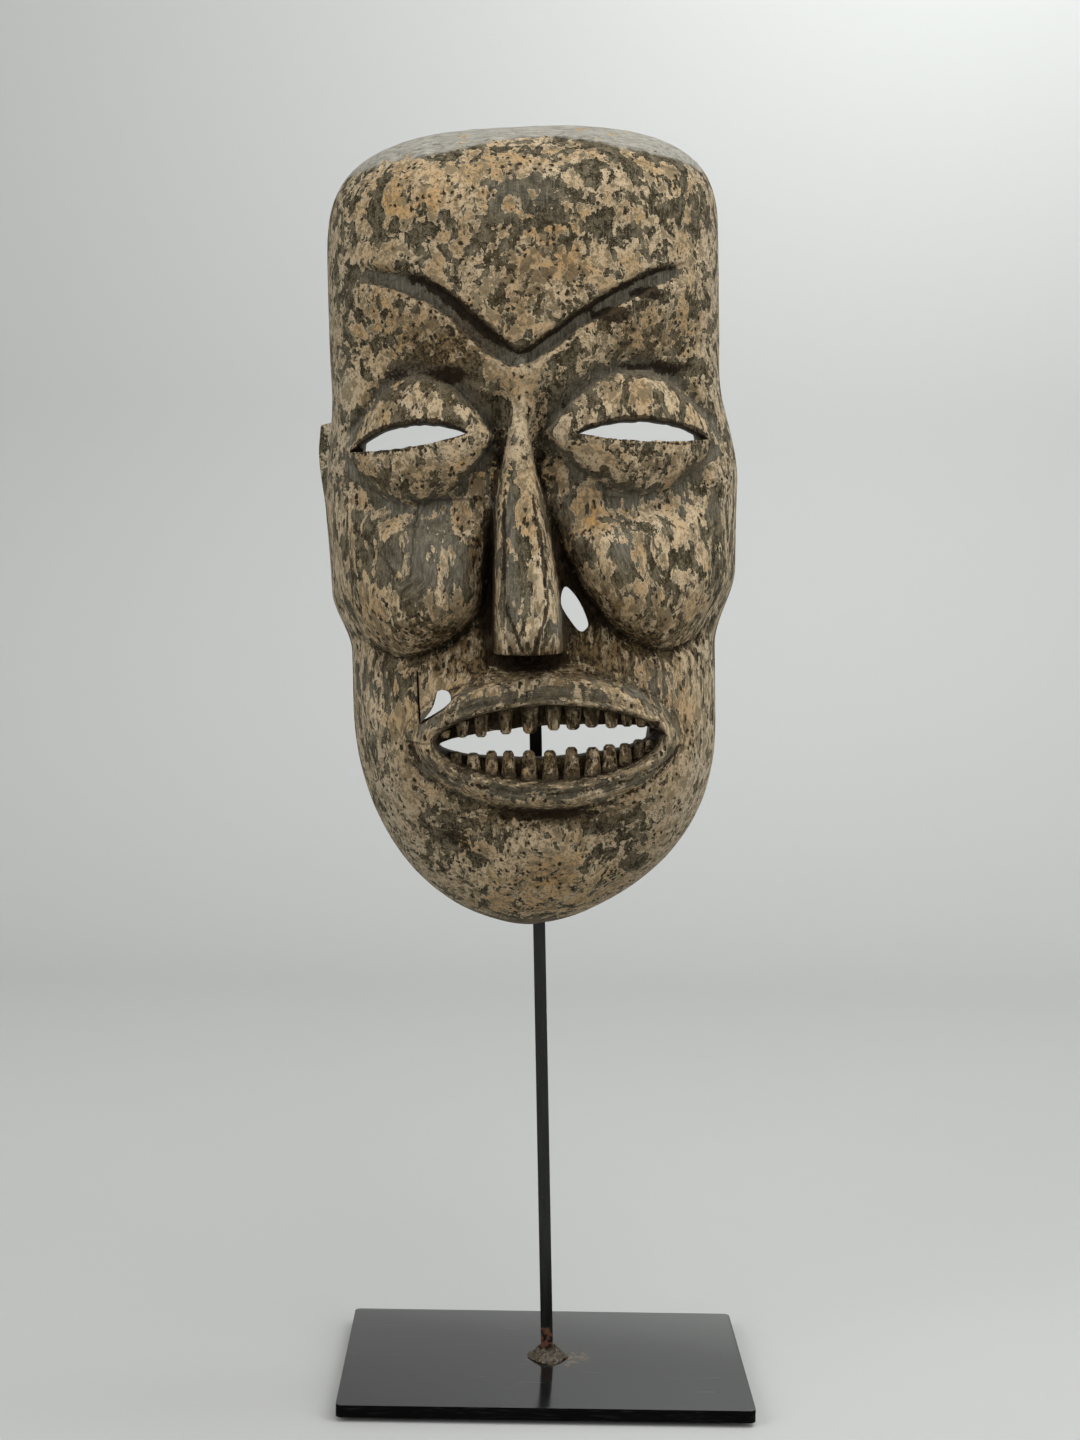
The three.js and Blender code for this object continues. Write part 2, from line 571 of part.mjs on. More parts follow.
const wood = new THREE.MeshStandardMaterial({ color: 0x9b8464, roughness: 0.85, metalness: 0 });
const blackSteel = new THREE.MeshStandardMaterial({ color: 0x161616, roughness: 0.3, metalness: 0.2 });
const blackBar = new THREE.MeshStandardMaterial({ color: 0x141311, roughness: 0.45, metalness: 0.2 });
const weldMetal = new THREE.MeshStandardMaterial({ color: 0x4a4034, roughness: 0.7, metalness: 0.3 });
const felt = new THREE.MeshStandardMaterial({ color: 0xb3a98c, roughness: 0.95, metalness: 0 });

function piece(name, geometry, material) {
  const mesh = new THREE.Mesh(geometry, material);
  mesh.name = name;
  return mesh;
}

const stand = new THREE.Group();

const plate = piece("base_plate", basePlate(), blackSteel);
plate.position.z = PAD_THICKNESS;
stand.add(plate);

let padNumber = 0;
for (const sideY of [-1, 1])
  for (const sideX of [-1, 1]) {
    padNumber += 1;
    const disc = new THREE.CylinderGeometry(PAD_DIAMETER / 2, PAD_DIAMETER / 2, PAD_THICKNESS, 24);
    const pad = piece(`felt_pad_${padNumber}`, disc.rotateX(Math.PI / 2), felt);
    const inset = PAD_INSET + PAD_DIAMETER / 2;
    pad.position.set(sideX * (PLATE_WIDTH / 2 - inset), sideY * (PLATE_DEPTH / 2 - inset), PAD_THICKNESS / 2);
    stand.add(pad);
  }

const plateTop = PAD_THICKNESS + PLATE_THICKNESS;
const weld = piece("weld_bead", weldBead(), weldMetal);
weld.position.set(ROD_OFFSET_X, 0, plateTop);
stand.add(weld);

const leaning = new THREE.Group();
leaning.position.set(ROD_OFFSET_X, 0, plateTop);
leaning.rotation.y = -radians(ROD_LEAN_DEG);
leaning.add(piece("support_rod", supportRod(), blackBar));
const mask = piece("mask", carvedMask(), wood);
mask.position.set(0, -(ROD_SIZE / 2 + TOUCH_GAP), CHIN_HEIGHT);
leaning.add(mask);
stand.add(leaning);

// Stand the whole on the ground with the middle of its length and depth over the origin.
stand.updateMatrixWorld(true);
const whole = new THREE.Box3().setFromObject(stand, true);
stand.position.x = -(whole.min.x + whole.max.x) / 2;
stand.position.y = -(whole.min.y + whole.max.y) / 2;

export default stand;
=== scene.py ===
"""A carved wooden face mask on a leaning square rod, welded to a black steel plate with felt pads."""

import math
from types import SimpleNamespace

import bpy
import numpy as np
from mathutils import Matrix, Vector


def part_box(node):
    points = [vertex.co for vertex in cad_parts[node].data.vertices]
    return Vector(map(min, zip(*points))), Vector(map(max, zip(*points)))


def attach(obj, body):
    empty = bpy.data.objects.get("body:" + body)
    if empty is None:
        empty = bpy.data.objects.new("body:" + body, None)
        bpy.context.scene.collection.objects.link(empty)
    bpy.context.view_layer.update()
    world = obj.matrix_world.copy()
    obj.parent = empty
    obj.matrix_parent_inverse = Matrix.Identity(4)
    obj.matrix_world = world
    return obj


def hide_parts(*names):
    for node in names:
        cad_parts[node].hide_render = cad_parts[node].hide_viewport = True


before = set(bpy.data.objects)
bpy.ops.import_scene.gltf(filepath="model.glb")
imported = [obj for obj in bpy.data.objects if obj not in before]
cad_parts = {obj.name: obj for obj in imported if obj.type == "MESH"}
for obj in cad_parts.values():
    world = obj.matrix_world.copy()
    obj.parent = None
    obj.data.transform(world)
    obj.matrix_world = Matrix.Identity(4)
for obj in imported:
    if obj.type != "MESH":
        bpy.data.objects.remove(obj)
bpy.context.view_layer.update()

MM = 0.001

# Stand, in millimetres
PLATE_TOP = 8.5
ROD_OFFSET_X = 1.5
ROD_LEAN = math.radians(2.2)
ROD_SIZE = 6
TOUCH_GAP = 0.3
WELD_RADIUS = 11.2
WELD_HEIGHT = 6.8

# Mask, in millimetres
# x runs to the viewer's right, z up from the chin and t forward from the flat back rim
CHIN_HEIGHT = 222.7
CHIN_LEVEL = -2.3
CROWN_LEVEL = 379
HEIGHT = CROWN_LEVEL - CHIN_LEVEL
FOREHEAD = {"left": 95.7, "right": 91.8}
JAW = {"left": 88.6, "right": 87.9}
CHEEK_BULGE = {"left": 8.7, "right": 10.1}
FRONT_WALL = 21
TEMPLE_WALL = 17
JAW_WALL = 30
CROWN_WALL = 17
CHIN_WALL = 42
CROWN_START = {"left": 314, "right": 322}
CROWN_POWER = {"left": 3.16, "right": 3.42}
JAW_TOP = {"left": 107.8, "right": 104.4}
JAW_POWER = {"left": 2.03, "right": 2.6}
JAW_ROOT = {"left": 0.49, "right": 0.7}
SECTION_POWER = 2.5
HOLLOW_POWER = 4
MIDDLE_DEPTH = [(0, 78), (110, 80), (190, 84), (262, 88), (325, 90), (352, 88), (379, 78)]

BROW_LINE = [(-92, 312), (-71, 310), (-50, 304), (-37, 297), (-22, 283.5), (-11, 274), (-4.4, 270),
             (7, 276.5), (23, 287.5), (41, 298), (62, 307.5), (92, 311)]
LEFT_EYE = {"outer": (-87, 226.5), "inner": (-17, 232), "above": 32, "below": 27}
RIGHT_EYE = {"outer": (89, 230), "inner": (6, 233.5), "above": 30, "below": 26}
LEFT_SLIT = {"outer": (-84, 227.6), "inner": (-28.5, 233.6), "above": 7.6, "below": 2.8}
RIGHT_SLIT = {"outer": (82, 230.4), "inner": (20, 232.6), "above": 6.8, "below": 2.8}
LEFT_CHEEK = [(-17.5, 222), (-18.5, 200), (-20.8, 180), (-22.4, 163), (-27.2, 151.8), (-36.5, 142.9),
              (-48, 136.3), (-60, 132), (-75.4, 136.8), (-87, 146.2), (-97, 160), (-125, 190),
              (-125, 240), (-60, 240)]
RIGHT_CHEEK = [(6, 222), (8.5, 203), (12, 188), (16.6, 174), (25.4, 157.7), (36.6, 144.7),
               (50.2, 136.7), (61.6, 134), (75.4, 138.4), (84.7, 147.4), (98, 158), (125, 190),
               (125, 240), (50, 240)]
NOSE_BOTTOM = 134.4
NOSE_CENTRE = [(134, -3.2), (181, -5), (212, -6.5), (250, -5.2), (268, -4.6)]
NOSE_HALF_WIDTH = [(134, 13), (159, 12.2), (181, 10.8), (203, 9.2), (220, 6), (240, 3),
                   (258, 2.8), (268, 3.4)]
NOSE_FACET = [(134, 2), (142, 4.5), (155, 8.4), (172, 8.6), (203, 6), (229, 3), (268, 1.5)]
NOSE_HEIGHT = [(134, 28), (159, 23), (181, 16.5), (203, 9.5), (229, 2.5), (247, -2), (268, -2.5)]
LIPS = {"x": 3.5, "z": 94, "half": 61, "above": 31, "below": 31.5}
MOUTH = {"x": 5, "z": 94, "half": 54.5, "above": 17.5, "below": 20}
GAP = {"outer": (-46.5, 91.5), "inner": (59.5, 95.5), "above": 7.2, "below": 8.4}
GAP_BLUNT = 0.6
CUT_FAR = 130
HOLLOW_REACH = 6
UPPER_ROOT = 17.5
UPPER_TIP = 4.2
LOWER_ROOT = -20
LOWER_TIP = -4.6
TOOTH_WIDE = 8.6
TOOTH_NARROW = 4.6
TEETH_SEED = 5
UPPER_TEETH = [-42.5, -34.3, -25.7, -14.3, -3.3, 7.7, 16.6, 25.1, 34.2, 41.5, 48, 53.7]
LOWER_TEETH = [-37.7, -29.5, -21.1, -13.3, -3.9, 5.8, 15.7, 25.4, 33.2, 40.5, 46.9, 52]
NOSTRIL_HOLE = [(14.5, 164), (12, 158.6), (13.4, 153), (20.2, 143.6), (23.9, 144.5), (24.4, 148),
                (20.4, 157.5)]
CORNER_HOLE = [(-45.4, 117), (-40.7, 117.4), (-38.9, 113.6), (-41.8, 109.5), (-48.4, 105),
               (-53.6, 102.3), (-48.3, 108.7)]
CRACK = [(-55, 126.5), (-54, 126), (-53.2, 102.6), (-54.2, 102.6)]
EAR_LOW = 200
EAR_HIGH = 243.5
EAR_PROUD = 5
EAR_DEPTH = 20


def mix(a, b, share):
    return a + (b - a) * share


def ease(start, end, v):
    s = np.clip((v - start) / (end - start), 0, 1)
    return s * s * (3 - 2 * s)


def hump(v, middle, spread):
    return np.exp(-(((v - middle) / spread) ** 2))


def soft_max(a, b, blend):
    s = np.clip(0.5 + 0.5 * (a - b) / blend, 0, 1)
    return mix(b, a, s) + blend * s * (1 - s)


def signed_power(v, power):
    return np.sign(v) * np.abs(v) ** power


def through(points, v):
    """A smooth curve through a few points of rising abscissa, level beyond both ends."""
    xs = np.array([p[0] for p in points], float)
    ys = np.array([p[1] for p in points], float)
    slopes = np.zeros(len(xs))
    slopes[1:-1] = (ys[2:] - ys[:-2]) / (xs[2:] - xs[:-2])
    v = np.clip(v, xs[0], xs[-1])
    i = np.clip(np.searchsorted(xs, v, side="right") - 1, 0, len(xs) - 2)
    span = xs[i + 1] - xs[i]
    s = (v - xs[i]) / span
    return (ys[i] * (2 * s**3 - 3 * s**2 + 1) + slopes[i] * span * (s**3 - 2 * s**2 + s)
            + ys[i + 1] * (-2 * s**3 + 3 * s**2) + slopes[i + 1] * span * (s**3 - s**2))


def value_noise(x, y, seed):
    """Smooth noise between -1 and 1 over the plane, one knot per unit."""
    knots = np.random.default_rng(seed).uniform(-1, 1, (64, 64))
    xi = np.floor(x).astype(int)
    yi = np.floor(y).astype(int)
    u = ease(0, 1, x - xi)
    v = ease(0, 1, y - yi)
    low = mix(knots[xi % 64, yi % 64], knots[(xi + 1) % 64, yi % 64], u)
    high = mix(knots[xi % 64, (yi + 1) % 64], knots[(xi + 1) % 64, (yi + 1) % 64], u)
    return mix(low, high, v)


def inside_distance(x, z, outline):
    """The distance from each point to a closed outline: positive inside it, negative outside."""
    nearest = np.full(np.shape(x), 1e9)
    inside = np.zeros(np.shape(x), bool)
    for (ax, az), (bx, bz) in zip(outline, outline[1:] + outline[:1]):
        dx, dz = bx - ax, bz - az
        s = np.clip(((x - ax) * dx + (z - az) * dz) / (dx * dx + dz * dz), 0, 1)
        nearest = np.minimum(nearest, np.hypot(x - ax - s * dx, z - az - s * dz))
        crosses = (az > z) != (bz > z)
        inside ^= crosses & (x < ax + (z - az) * dx / (dz if dz else 1e-9))
    return np.where(inside, nearest, -nearest)


def rounded_outline(points, per_side=6):
    """A closed smooth curve through the given corners."""
    ring = []
    count = len(points)
    for i in range(count):
        p0, p1, p2, p3 = (np.array(points[(i + k) % count], float) for k in (-1, 0, 1, 2))
        for s in np.arange(per_side) / per_side:
            ring.append(tuple(0.5 * (2 * p1 + (p2 - p0) * s + (2 * p0 - 5 * p1 + 4 * p2 - p3) * s**2
                                     + (3 * p1 - p0 - 3 * p2 + p3) * s**3)))
    return ring


# Plain form

def by_side(values, side):
    """A value of the left side passing gently into that of the right."""
    return mix(values["left"], values["right"], ease(-0.4, 0.4, side))


def fullness(z, side):
    """1 along the sides of the egg-shaped outline, falling to 0 at the crown and the chin."""
    start = by_side(CROWN_START, side)
    power = by_side(CROWN_POWER, side)
    jaw_top = by_side(JAW_TOP, side)
    up = np.clip((z - start) / (CROWN_LEVEL - start), 0, 1)
    down = np.clip((jaw_top - z) / (jaw_top - CHIN_LEVEL), 0, 1)
    crown = (1 - up**power) ** (1 / power)
    return crown * (1 - down ** by_side(JAW_POWER, side)) ** by_side(JAW_ROOT, side)


def outline_half_width(z, side):
    """The half width of the outline on one side, with the cheek bulging out over the jaw."""
    low = mix(by_side(JAW, side), by_side(FOREHEAD, side), ease(150, 285, z))
    cheek_left = ease(134, 163, z) * (1 - ease(196, 262, z))
    cheek_right = ease(134, 171, z) * (1 - ease(212, 266, z))
    cheek = by_side(CHEEK_BULGE, side) * mix(cheek_left, cheek_right, ease(-0.4, 0.4, side))
    return (low + cheek) * fullness(z, side)


def plain_depth(z, side):
    """The depth of the form along its middle, before any carving."""
    return through(MIDDLE_DEPTH, z) * fullness(z, side)


# Carving

def lens_shares(x, z, lens):
    """How far along an almond shape a point is, from -1 to 1, and how far out: 1 is on the rim."""
    (ax, az), (bx, bz) = sorted([lens["outer"], lens["inner"]])
    along = (x - (ax + bx) / 2) / ((bx - ax) / 2)
    axis = mix(az, bz, (along + 1) / 2)
    bow = np.clip(1 - along**2, 1e-4, 1)
    half = np.where(z > axis, lens["above"], lens["below"]) * bow
    out = np.where(np.abs(along) < 1, np.abs(z - axis) / half, 9.0)
    return along, out


def mouth_share(x, z, oval):
    """The share of a pointed oval that a point is out from its middle: 1 is on the rim."""
    across = np.abs((x - oval["x"]) / oval["half"])
    half_height = np.where(z > oval["z"], oval["above"], oval["below"])
    return (across**1.75 + np.abs((z - oval["z"]) / half_height) ** 1.9) ** 0.54


def brow_drop(x, z):
    """The distance below the brow line, square to it."""
    slope = (through(BROW_LINE, x + 3) - through(BROW_LINE, x - 3)) / 6
    return (through(BROW_LINE, x) - z) / np.sqrt(1 + slope**2)


def groove_extra(x):
    """How much wider the groove under the brow is on its left arm."""
    return 2.6 * (1 - ease(-22, -4, x)) * ease(-74, -50, x)


def face_ground(x, z):
    """The sunk ground of the face: a groove under the brow, and sockets that slope back from it."""
    below = brow_drop(x, z)
    near = 1 - ease(58, 84, np.abs(x + 4))
    low_face = ease(104, 146, z)
    wider = groove_extra(x)
    shelf = -7.5 * ease(-1.2, 1.2, below) + 6.2 * ease(5 + wider, 8.4 + wider, below)
    socket = -8.5 * ease(9, 44, below) * low_face
    beside = 6.5 * hump(x, -4, 30) * hump(z, 158, 40)
    beside = beside + 9 * hump(z, 127, 7) * hump(x, -3, 17)
    inner_corners = (hump(x, -14.5, 5.5) + hump(x, 4, 5)) * ease(200, 216, z) * (1 - ease(244, 262, z))
    beside = beside + 7 * inner_corners
    brow = near * shelf * ease(230, 262, z + 0.3 * np.abs(x))
    return brow + socket * (1 - ease(70, 92, np.abs(x))) - beside


def eye_dome(x, z, lens):
    along, out = lens_shares(x, z, lens)
    bow = np.clip(1 - along**2, 0, 1)
    dome = -10.5 + 16 * (1 - np.clip(out, 0, 1) ** 2.4) ** 0.5 * bow**0.35
    return np.where(out < 1, dome, -40)


def eye_crease(x, z, lens):
    along, out = lens_shares(x, z, lens)
    half = (lens["above"] + lens["below"]) / 2 * np.clip(1 - along**2, 0.04, 1)
    away = (out - 1) * half
    return np.where(np.abs(along) < 1, hump(away, 1.5, 4.5), 0)


def cheek_pouch(x, z, outline):
    inside = inside_distance(x, z, outline)
    swell = 1 - (1 - np.clip(inside / 27, 0, 1)) ** 2.4
    under_eye = ease(186, 207, z + 0.1 * (70 - np.abs(x))) * (1 - ease(66, 94, np.abs(x)))
    sag = mix(1, 0.6, ease(150, 210, z)) * mix(1, 0.1, under_eye)
    return np.where(inside > 0, -12 + 22 * sag * swell**0.55, -40)


def cheek_groove(x, z, outline):
    """The cut that sets a cheek off from the mouth and the nose."""
    outside = -inside_distance(x, z, outline)
    depth = 3.5 * np.where(outside > 0, hump(outside, 1, 3), 0)
    return depth * (1 - ease(60, 86, np.abs(x))) * (1 - ease(186, 205, z))


def nose_ridge(x, z):
    across = x - through(NOSE_CENTRE, z)
    facet = through(NOSE_FACET, z)
    tilt = 0.3 * np.clip(0.8 * facet - across, 0, 1.8 * facet) + 0.7
    flank = 1.05 * np.maximum(0, np.abs(across) - facet) + tilt
    wall = 7 * np.maximum(0, np.abs(across) - through(NOSE_HALF_WIDTH, z))
    under = 30 * np.maximum(0, NOSE_BOTTOM - z)
    above = 2 * np.maximum(0, z - 266)
    return through(NOSE_HEIGHT, z) - flank - wall - under - above


def lips(x, z, ground):
    outer = mouth_share(x, z, LIPS)
    inner = mouth_share(x, z, MOUTH)
    base = mix(ground, -1.5, ease(1.22, 1.0, outer))
    roll = 11 * ease(1.06, 0.9, outer)
    bead = 1.6 * hump(inner, 1.05, 0.045) - 1.4 * hump(inner, 1.16, 0.035)
    recess = 17 * ease(1.0, 0.9, inner)
    return base + roll + bead * ease(1.05, 1.0, outer) - recess


def chin_form(x, z):
    lobe_edge = np.hypot((x - 1) / 30, (z - 22) / 34)
    lobe = 7 * (1 - ease(0.62, 1.05, lobe_edge))
    hollows = 5 * (hump(x, -41, 14) + hump(x, 38, 13)) * hump(z, 44, 14)
    crease = 5 * hump(z, 59, 4.5) * hump(x, 1, 34)
    return lobe - hollows - crease


def carving(x, z):
    """How far the carving stands forward of the plain form, or is cut back into it."""
    height = face_ground(x, z)
    for lens in (LEFT_EYE, RIGHT_EYE):
        height = height - 3.5 * eye_crease(x, z, lens)
        height = soft_max(height, eye_dome(x, z, lens), 1.0)
    for corners in (LEFT_CHEEK, RIGHT_CHEEK):
        outline = rounded_outline(corners)
        height = height - cheek_groove(x, z, outline)
        height = soft_max(height, cheek_pouch(x, z, outline), 0.7)
    height = height + chin_form(x, z)
    height = lips(x, z, height)
    return soft_max(height, nose_ridge(x, z), 1.0)


def tool_marks(x, z):
    """Shallow cuts of the adze, longer down the face than across it."""
    broad = value_noise(x / 13 + 5, z / 19, 3) + 0.6 * value_noise(x / 6 + 9, z / 12, 4)
    fine = value_noise(x / 3.1, z / 7.5, 7) + 0.6 * value_noise(x / 2.3 + 11, z / 3.1, 8)
    return 0.8 * broad + 0.28 * fine


def front_point(row, turn):
    """A point of the carved front, at a height and an angle round the section from left to right."""
    across = signed_power(np.sin(turn), 2 / SECTION_POWER)
    forward = np.abs(np.cos(turn)) ** (2 / SECTION_POWER)
    z = row
    x = across * outline_half_width(z, across)
    full = fullness(z, across)
    fade = full**0.5 * (1 - ease(0.9, 0.995, np.abs(across)))
    relief = carving(x, z)
    rim = ease(1.0, 0.97, np.abs(across))
    t = forward * plain_depth(z, across) + relief * fade + tool_marks(x + across * 60, z) * fade
    on_ear = ease(EAR_LOW, EAR_LOW + 34, z) * (z < EAR_HIGH) * (across < 0)
    x = x - EAR_PROUD * on_ear * (1 - ease(EAR_DEPTH - 3, EAR_DEPTH, t))
    x = x + 0.5 * rim * tool_marks(z * 0.6, t) * np.sign(across) * full
    return x, np.maximum(t, 0), z - CHIN_LEVEL


# Building meshes

def new_object(name, vertices, faces):
    mesh = bpy.data.meshes.new(name)
    mesh.from_pydata([tuple(v) for v in vertices], [], faces)
    mesh.validate()
    mesh.update()
    mesh.shade_smooth()
    obj = bpy.data.objects.new(name, mesh)
    bpy.context.collection.objects.link(obj)
    return obj


def plate_centre():
    low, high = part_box("base_plate")
    return Vector(((low[0] + high[0]) / 2, (low[1] + high[1]) / 2, 0))


def leaning_matrix():
    """From the leaning rod's own millimetres, x, y and z from its foot, to the row frame's metres."""
    foot = plate_centre() + Vector((ROD_OFFSET_X, 0, PLATE_TOP)) * MM
    return Matrix.Translation(foot) @ Matrix.Rotation(-ROD_LEAN, 4, "Y") @ Matrix.Scale(MM, 4)


def mask_to_world(points):
    """Mask millimetres (x, t, z) to the row frame's metres."""
    m = np.array(leaning_matrix())
    x, t, z = points.T
    placed = np.stack([x, -(ROD_SIZE / 2 + TOUCH_GAP) - t, CHIN_HEIGHT + z], 1)
    return placed @ m[:3, :3].T + m[:3, 3]


def bowl(rows, bottom, top, back_reach):
    """A closed shell from a grid of points, with its flat back set off behind the rim."""
    count, columns, _ = rows.shape
    points = np.concatenate([rows.reshape(-1, 3), [bottom], [top]])
    low_index, top_index = count * columns, count * columns + 1
    at = np.arange(count * columns).reshape(count, columns)
    quads = np.stack([at[:-1, :-1], at[:-1, 1:], at[1:, 1:], at[1:, :-1]], -1).reshape(-1, 4)
    faces = [tuple(int(i) for i in q) for q in quads]
    faces += [(low_index, int(at[0, c + 1]), int(at[0, c])) for c in range(columns - 1)]
    faces += [(top_index, int(at[-1, c]), int(at[-1, c + 1])) for c in range(columns - 1)]
    rim = [low_index, *at[:, -1].tolist(), top_index, *at[::-1, 0].tolist()]
    behind = list(rim)
    if back_reach:
        behind = list(range(len(points), len(points) + len(rim)))
        points = np.concatenate([points, points[rim] - [0, back_reach, 0]])
        for i in range(len(rim)):
            j = (i + 1) % len(rim)
            faces.append((rim[i], behind[i], behind[j], rim[j]))
    faces.append(tuple(reversed(behind)))
    return points, faces


def carved_front():
    columns, levels = 217, 318
    turns = np.radians(90 * signed_power(np.linspace(-1, 1, columns), 1.3))
    ends = np.array([0.6, 1.5, 3, 5, 7.5])
    rows = np.concatenate([CHIN_LEVEL + ends, np.linspace(8, 369, levels), CROWN_LEVEL - ends[::-1]])
    row_grid, turn_grid = np.meshgrid(rows, turns, indexing="ij")
    return np.stack(front_point(row_grid, turn_grid), -1)


def hollow_surface():
    low, high = CHIN_WALL, HEIGHT - CROWN_WALL
    rows, columns = 60, 61
    shares = (1 - np.cos(np.linspace(0.12, math.pi - 0.12, rows))) / 2
    turns = np.radians(np.linspace(-90, 90, columns))
    share, turn = np.meshgrid(shares, turns, indexing="ij")
    z = mix(low, high, share)
    end = (1 - np.abs(2 * share - 1) ** 5) ** (1 / 3)
    drawn = z + CHIN_LEVEL
    wall = mix(JAW_WALL, TEMPLE_WALL, ease(0.28, 0.5, z / HEIGHT))
    side = np.maximum(outline_half_width(drawn, np.sin(turn)) - wall, 4)
    depth = np.maximum(plain_depth(drawn, np.sin(turn)) - FRONT_WALL, 4)
    x = signed_power(np.sin(turn), 2 / HOLLOW_POWER) * side * end
    t = np.abs(np.cos(turn)) ** (2 / HOLLOW_POWER) * depth * end
    cut = 0.5 * value_noise(x / 9, z / 14 + t / 20, 11)
    return np.stack([x, np.where(t > 1, t + cut, t), z], -1), low, high


def prism(name, outline, near, far):
    """A closed prism with an outline in the face's plane, between two depths."""
    count = len(outline)
    area = sum(a[0] * b[1] - b[0] * a[1] for a, b in zip(outline, outline[1:] + outline[:1]))
    ring = outline if area > 0 else outline[::-1]
    points = [(x, near, z - CHIN_LEVEL) for x, z in ring] + [(x, far, z - CHIN_LEVEL) for x, z in ring]
    faces = [tuple(reversed(range(count))), tuple(range(count, 2 * count))]
    for i in range(count):
        j = (i + 1) % count
        faces.append((i, j, count + j, count + i))
    return new_object(name, mask_to_world(np.array(points, float)), faces)


def almond(lens, blunt=0.9, steps=48):
    (ax, az), (bx, bz) = sorted([lens["outer"], lens["inner"]])
    s = np.linspace(-1, 1, steps)
    x = mix(ax, bx, (s + 1) / 2)
    axis = mix(az, bz, (s + 1) / 2)
    nick = 0.35 * value_noise(x / 2.2 + 60, x * 0 + 3, 15) * (1 - s**2)
    lower = list(zip(x, axis - lens["below"] * (1 - s**2) ** blunt + nick))
    upper = list(zip(x, axis + lens["above"] * (1 - s**2) ** blunt - nick[::-1]))
    return lower + upper[-2:0:-1]


def cut_with(target, cutter):
    modifier = target.modifiers.new(cutter.name, "BOOLEAN")
    modifier.operation = "DIFFERENCE"
    modifier.solver = "MANIFOLD"
    modifier.object = cutter


def fix_modifiers(obj, helpers):
    """Keeps the shape that the modifiers give and drops the helper objects."""
    graph = bpy.context.evaluated_depsgraph_get()
    mesh = bpy.data.meshes.new_from_object(obj.evaluated_get(graph))
    obj.modifiers.clear()
    obj.data = mesh
    for helper in helpers:
        bpy.data.objects.remove(helper, do_unlink=True)


def tooth(x, root, tip, width):
    """One blunt peg that narrows from its root to its tip, with rounded corners."""
    sides = 14
    points, faces = [], []
    middle = (root + tip) / 2
    _, depth, _ = front_point(np.array([middle]), np.array([turn_at(x, middle)]))
    front = depth[0]
    for share in (0, 0.35, 0.7, 0.92, 1.0):
        z = mix(root, tip, share)
        half = width / 2 * (mix(1, 0.62, share) if share < 1 else 0.4)
        deep = mix(5.4, 3.6, share) if share < 1 else 2.4
        for i in range(sides):
            turn = 2 * math.pi * i / sides
            points.append((x + half * signed_power(math.cos(turn), 0.7),
                           front - 0.4 + deep * signed_power(math.sin(turn), 0.7), z - CHIN_LEVEL))
    for low in range(0, 4 * sides, sides):
        for i in range(sides):
            j = (i + 1) % sides
            faces.append((low + i, low + j, low + sides + j, low + sides + i))
    faces.append(tuple(range(sides - 1, -1, -1)))
    faces.append(tuple(range(4 * sides, 5 * sides)))
    return np.array(points, float), faces


def turn_at(x, z):
    """The angle round the section at which the face has this x."""
    share = np.clip(x / outline_half_width(np.array([z]), np.array([x]))[0], -1, 1)
    return math.asin(float(signed_power(share, SECTION_POWER / 2)))


def build_teeth(generator):
    points, faces = [], []
    rows = ((UPPER_TEETH, UPPER_ROOT, UPPER_TIP), (LOWER_TEETH, LOWER_ROOT, LOWER_TIP))
    for centres, row_root, row_tip in rows:
        for x in centres:
            across = (x - MOUTH["x"]) / MOUTH["half"]
            bow = max(1 - abs(across) ** 1.9, 0.05) ** 0.6
            lift = 2.2 * across
            root = MOUTH["z"] + row_root * bow + lift
            tip = MOUTH["z"] + row_tip * bow**0.5 + lift + generator.uniform(-0.7, 0.7)
            width = mix(TOOTH_NARROW, TOOTH_WIDE, bow) * generator.uniform(0.92, 1.08)
            shape, sides = tooth(x, root, tip, width)
            offset = sum(len(p) for p in points)
            points.append(shape)
            faces += [tuple(offset + i for i in face) for face in sides]
    return new_object("teeth", mask_to_world(np.concatenate(points)), faces)


def build_mask():
    rows = carved_front()
    points, faces = bowl(rows, (0, 0, 0), (0, 0, HEIGHT), 0)
    mask = new_object("carved_mask", mask_to_world(points), faces)
    surface, low, high = hollow_surface()
    points, faces = bowl(surface, (0, 0, low), (0, 0, high), HOLLOW_REACH)
    helpers = [new_object("hollow", mask_to_world(points), faces)]
    openings = [
        ("left_slit", almond(LEFT_SLIT), 30),
        ("right_slit", almond(RIGHT_SLIT), 30),
        ("mouth_gap", almond(GAP, GAP_BLUNT), 20),
        ("nostril_hole", rounded_outline(NOSTRIL_HOLE), 30),
        ("corner_hole", rounded_outline(CORNER_HOLE), 20),
        ("crack", CRACK, 60),
    ]
    helpers += [prism(name, outline, near, CUT_FAR) for name, outline, near in openings]
    for helper in helpers:
        cut_with(mask, helper)
    fix_modifiers(mask, helpers)
    mask.data.shade_smooth()
    return mask


def join(target, extra):
    with bpy.context.temp_override(active_object=target, selected_editable_objects=[target, extra]):
        bpy.ops.object.join()


# How much crust, shade and brown the teeth carry
TEETH_FINISH = (0.35, 0.25, 0.75)

# Where the colour changes over the face: x, z, half width, half height and strength, in millimetres

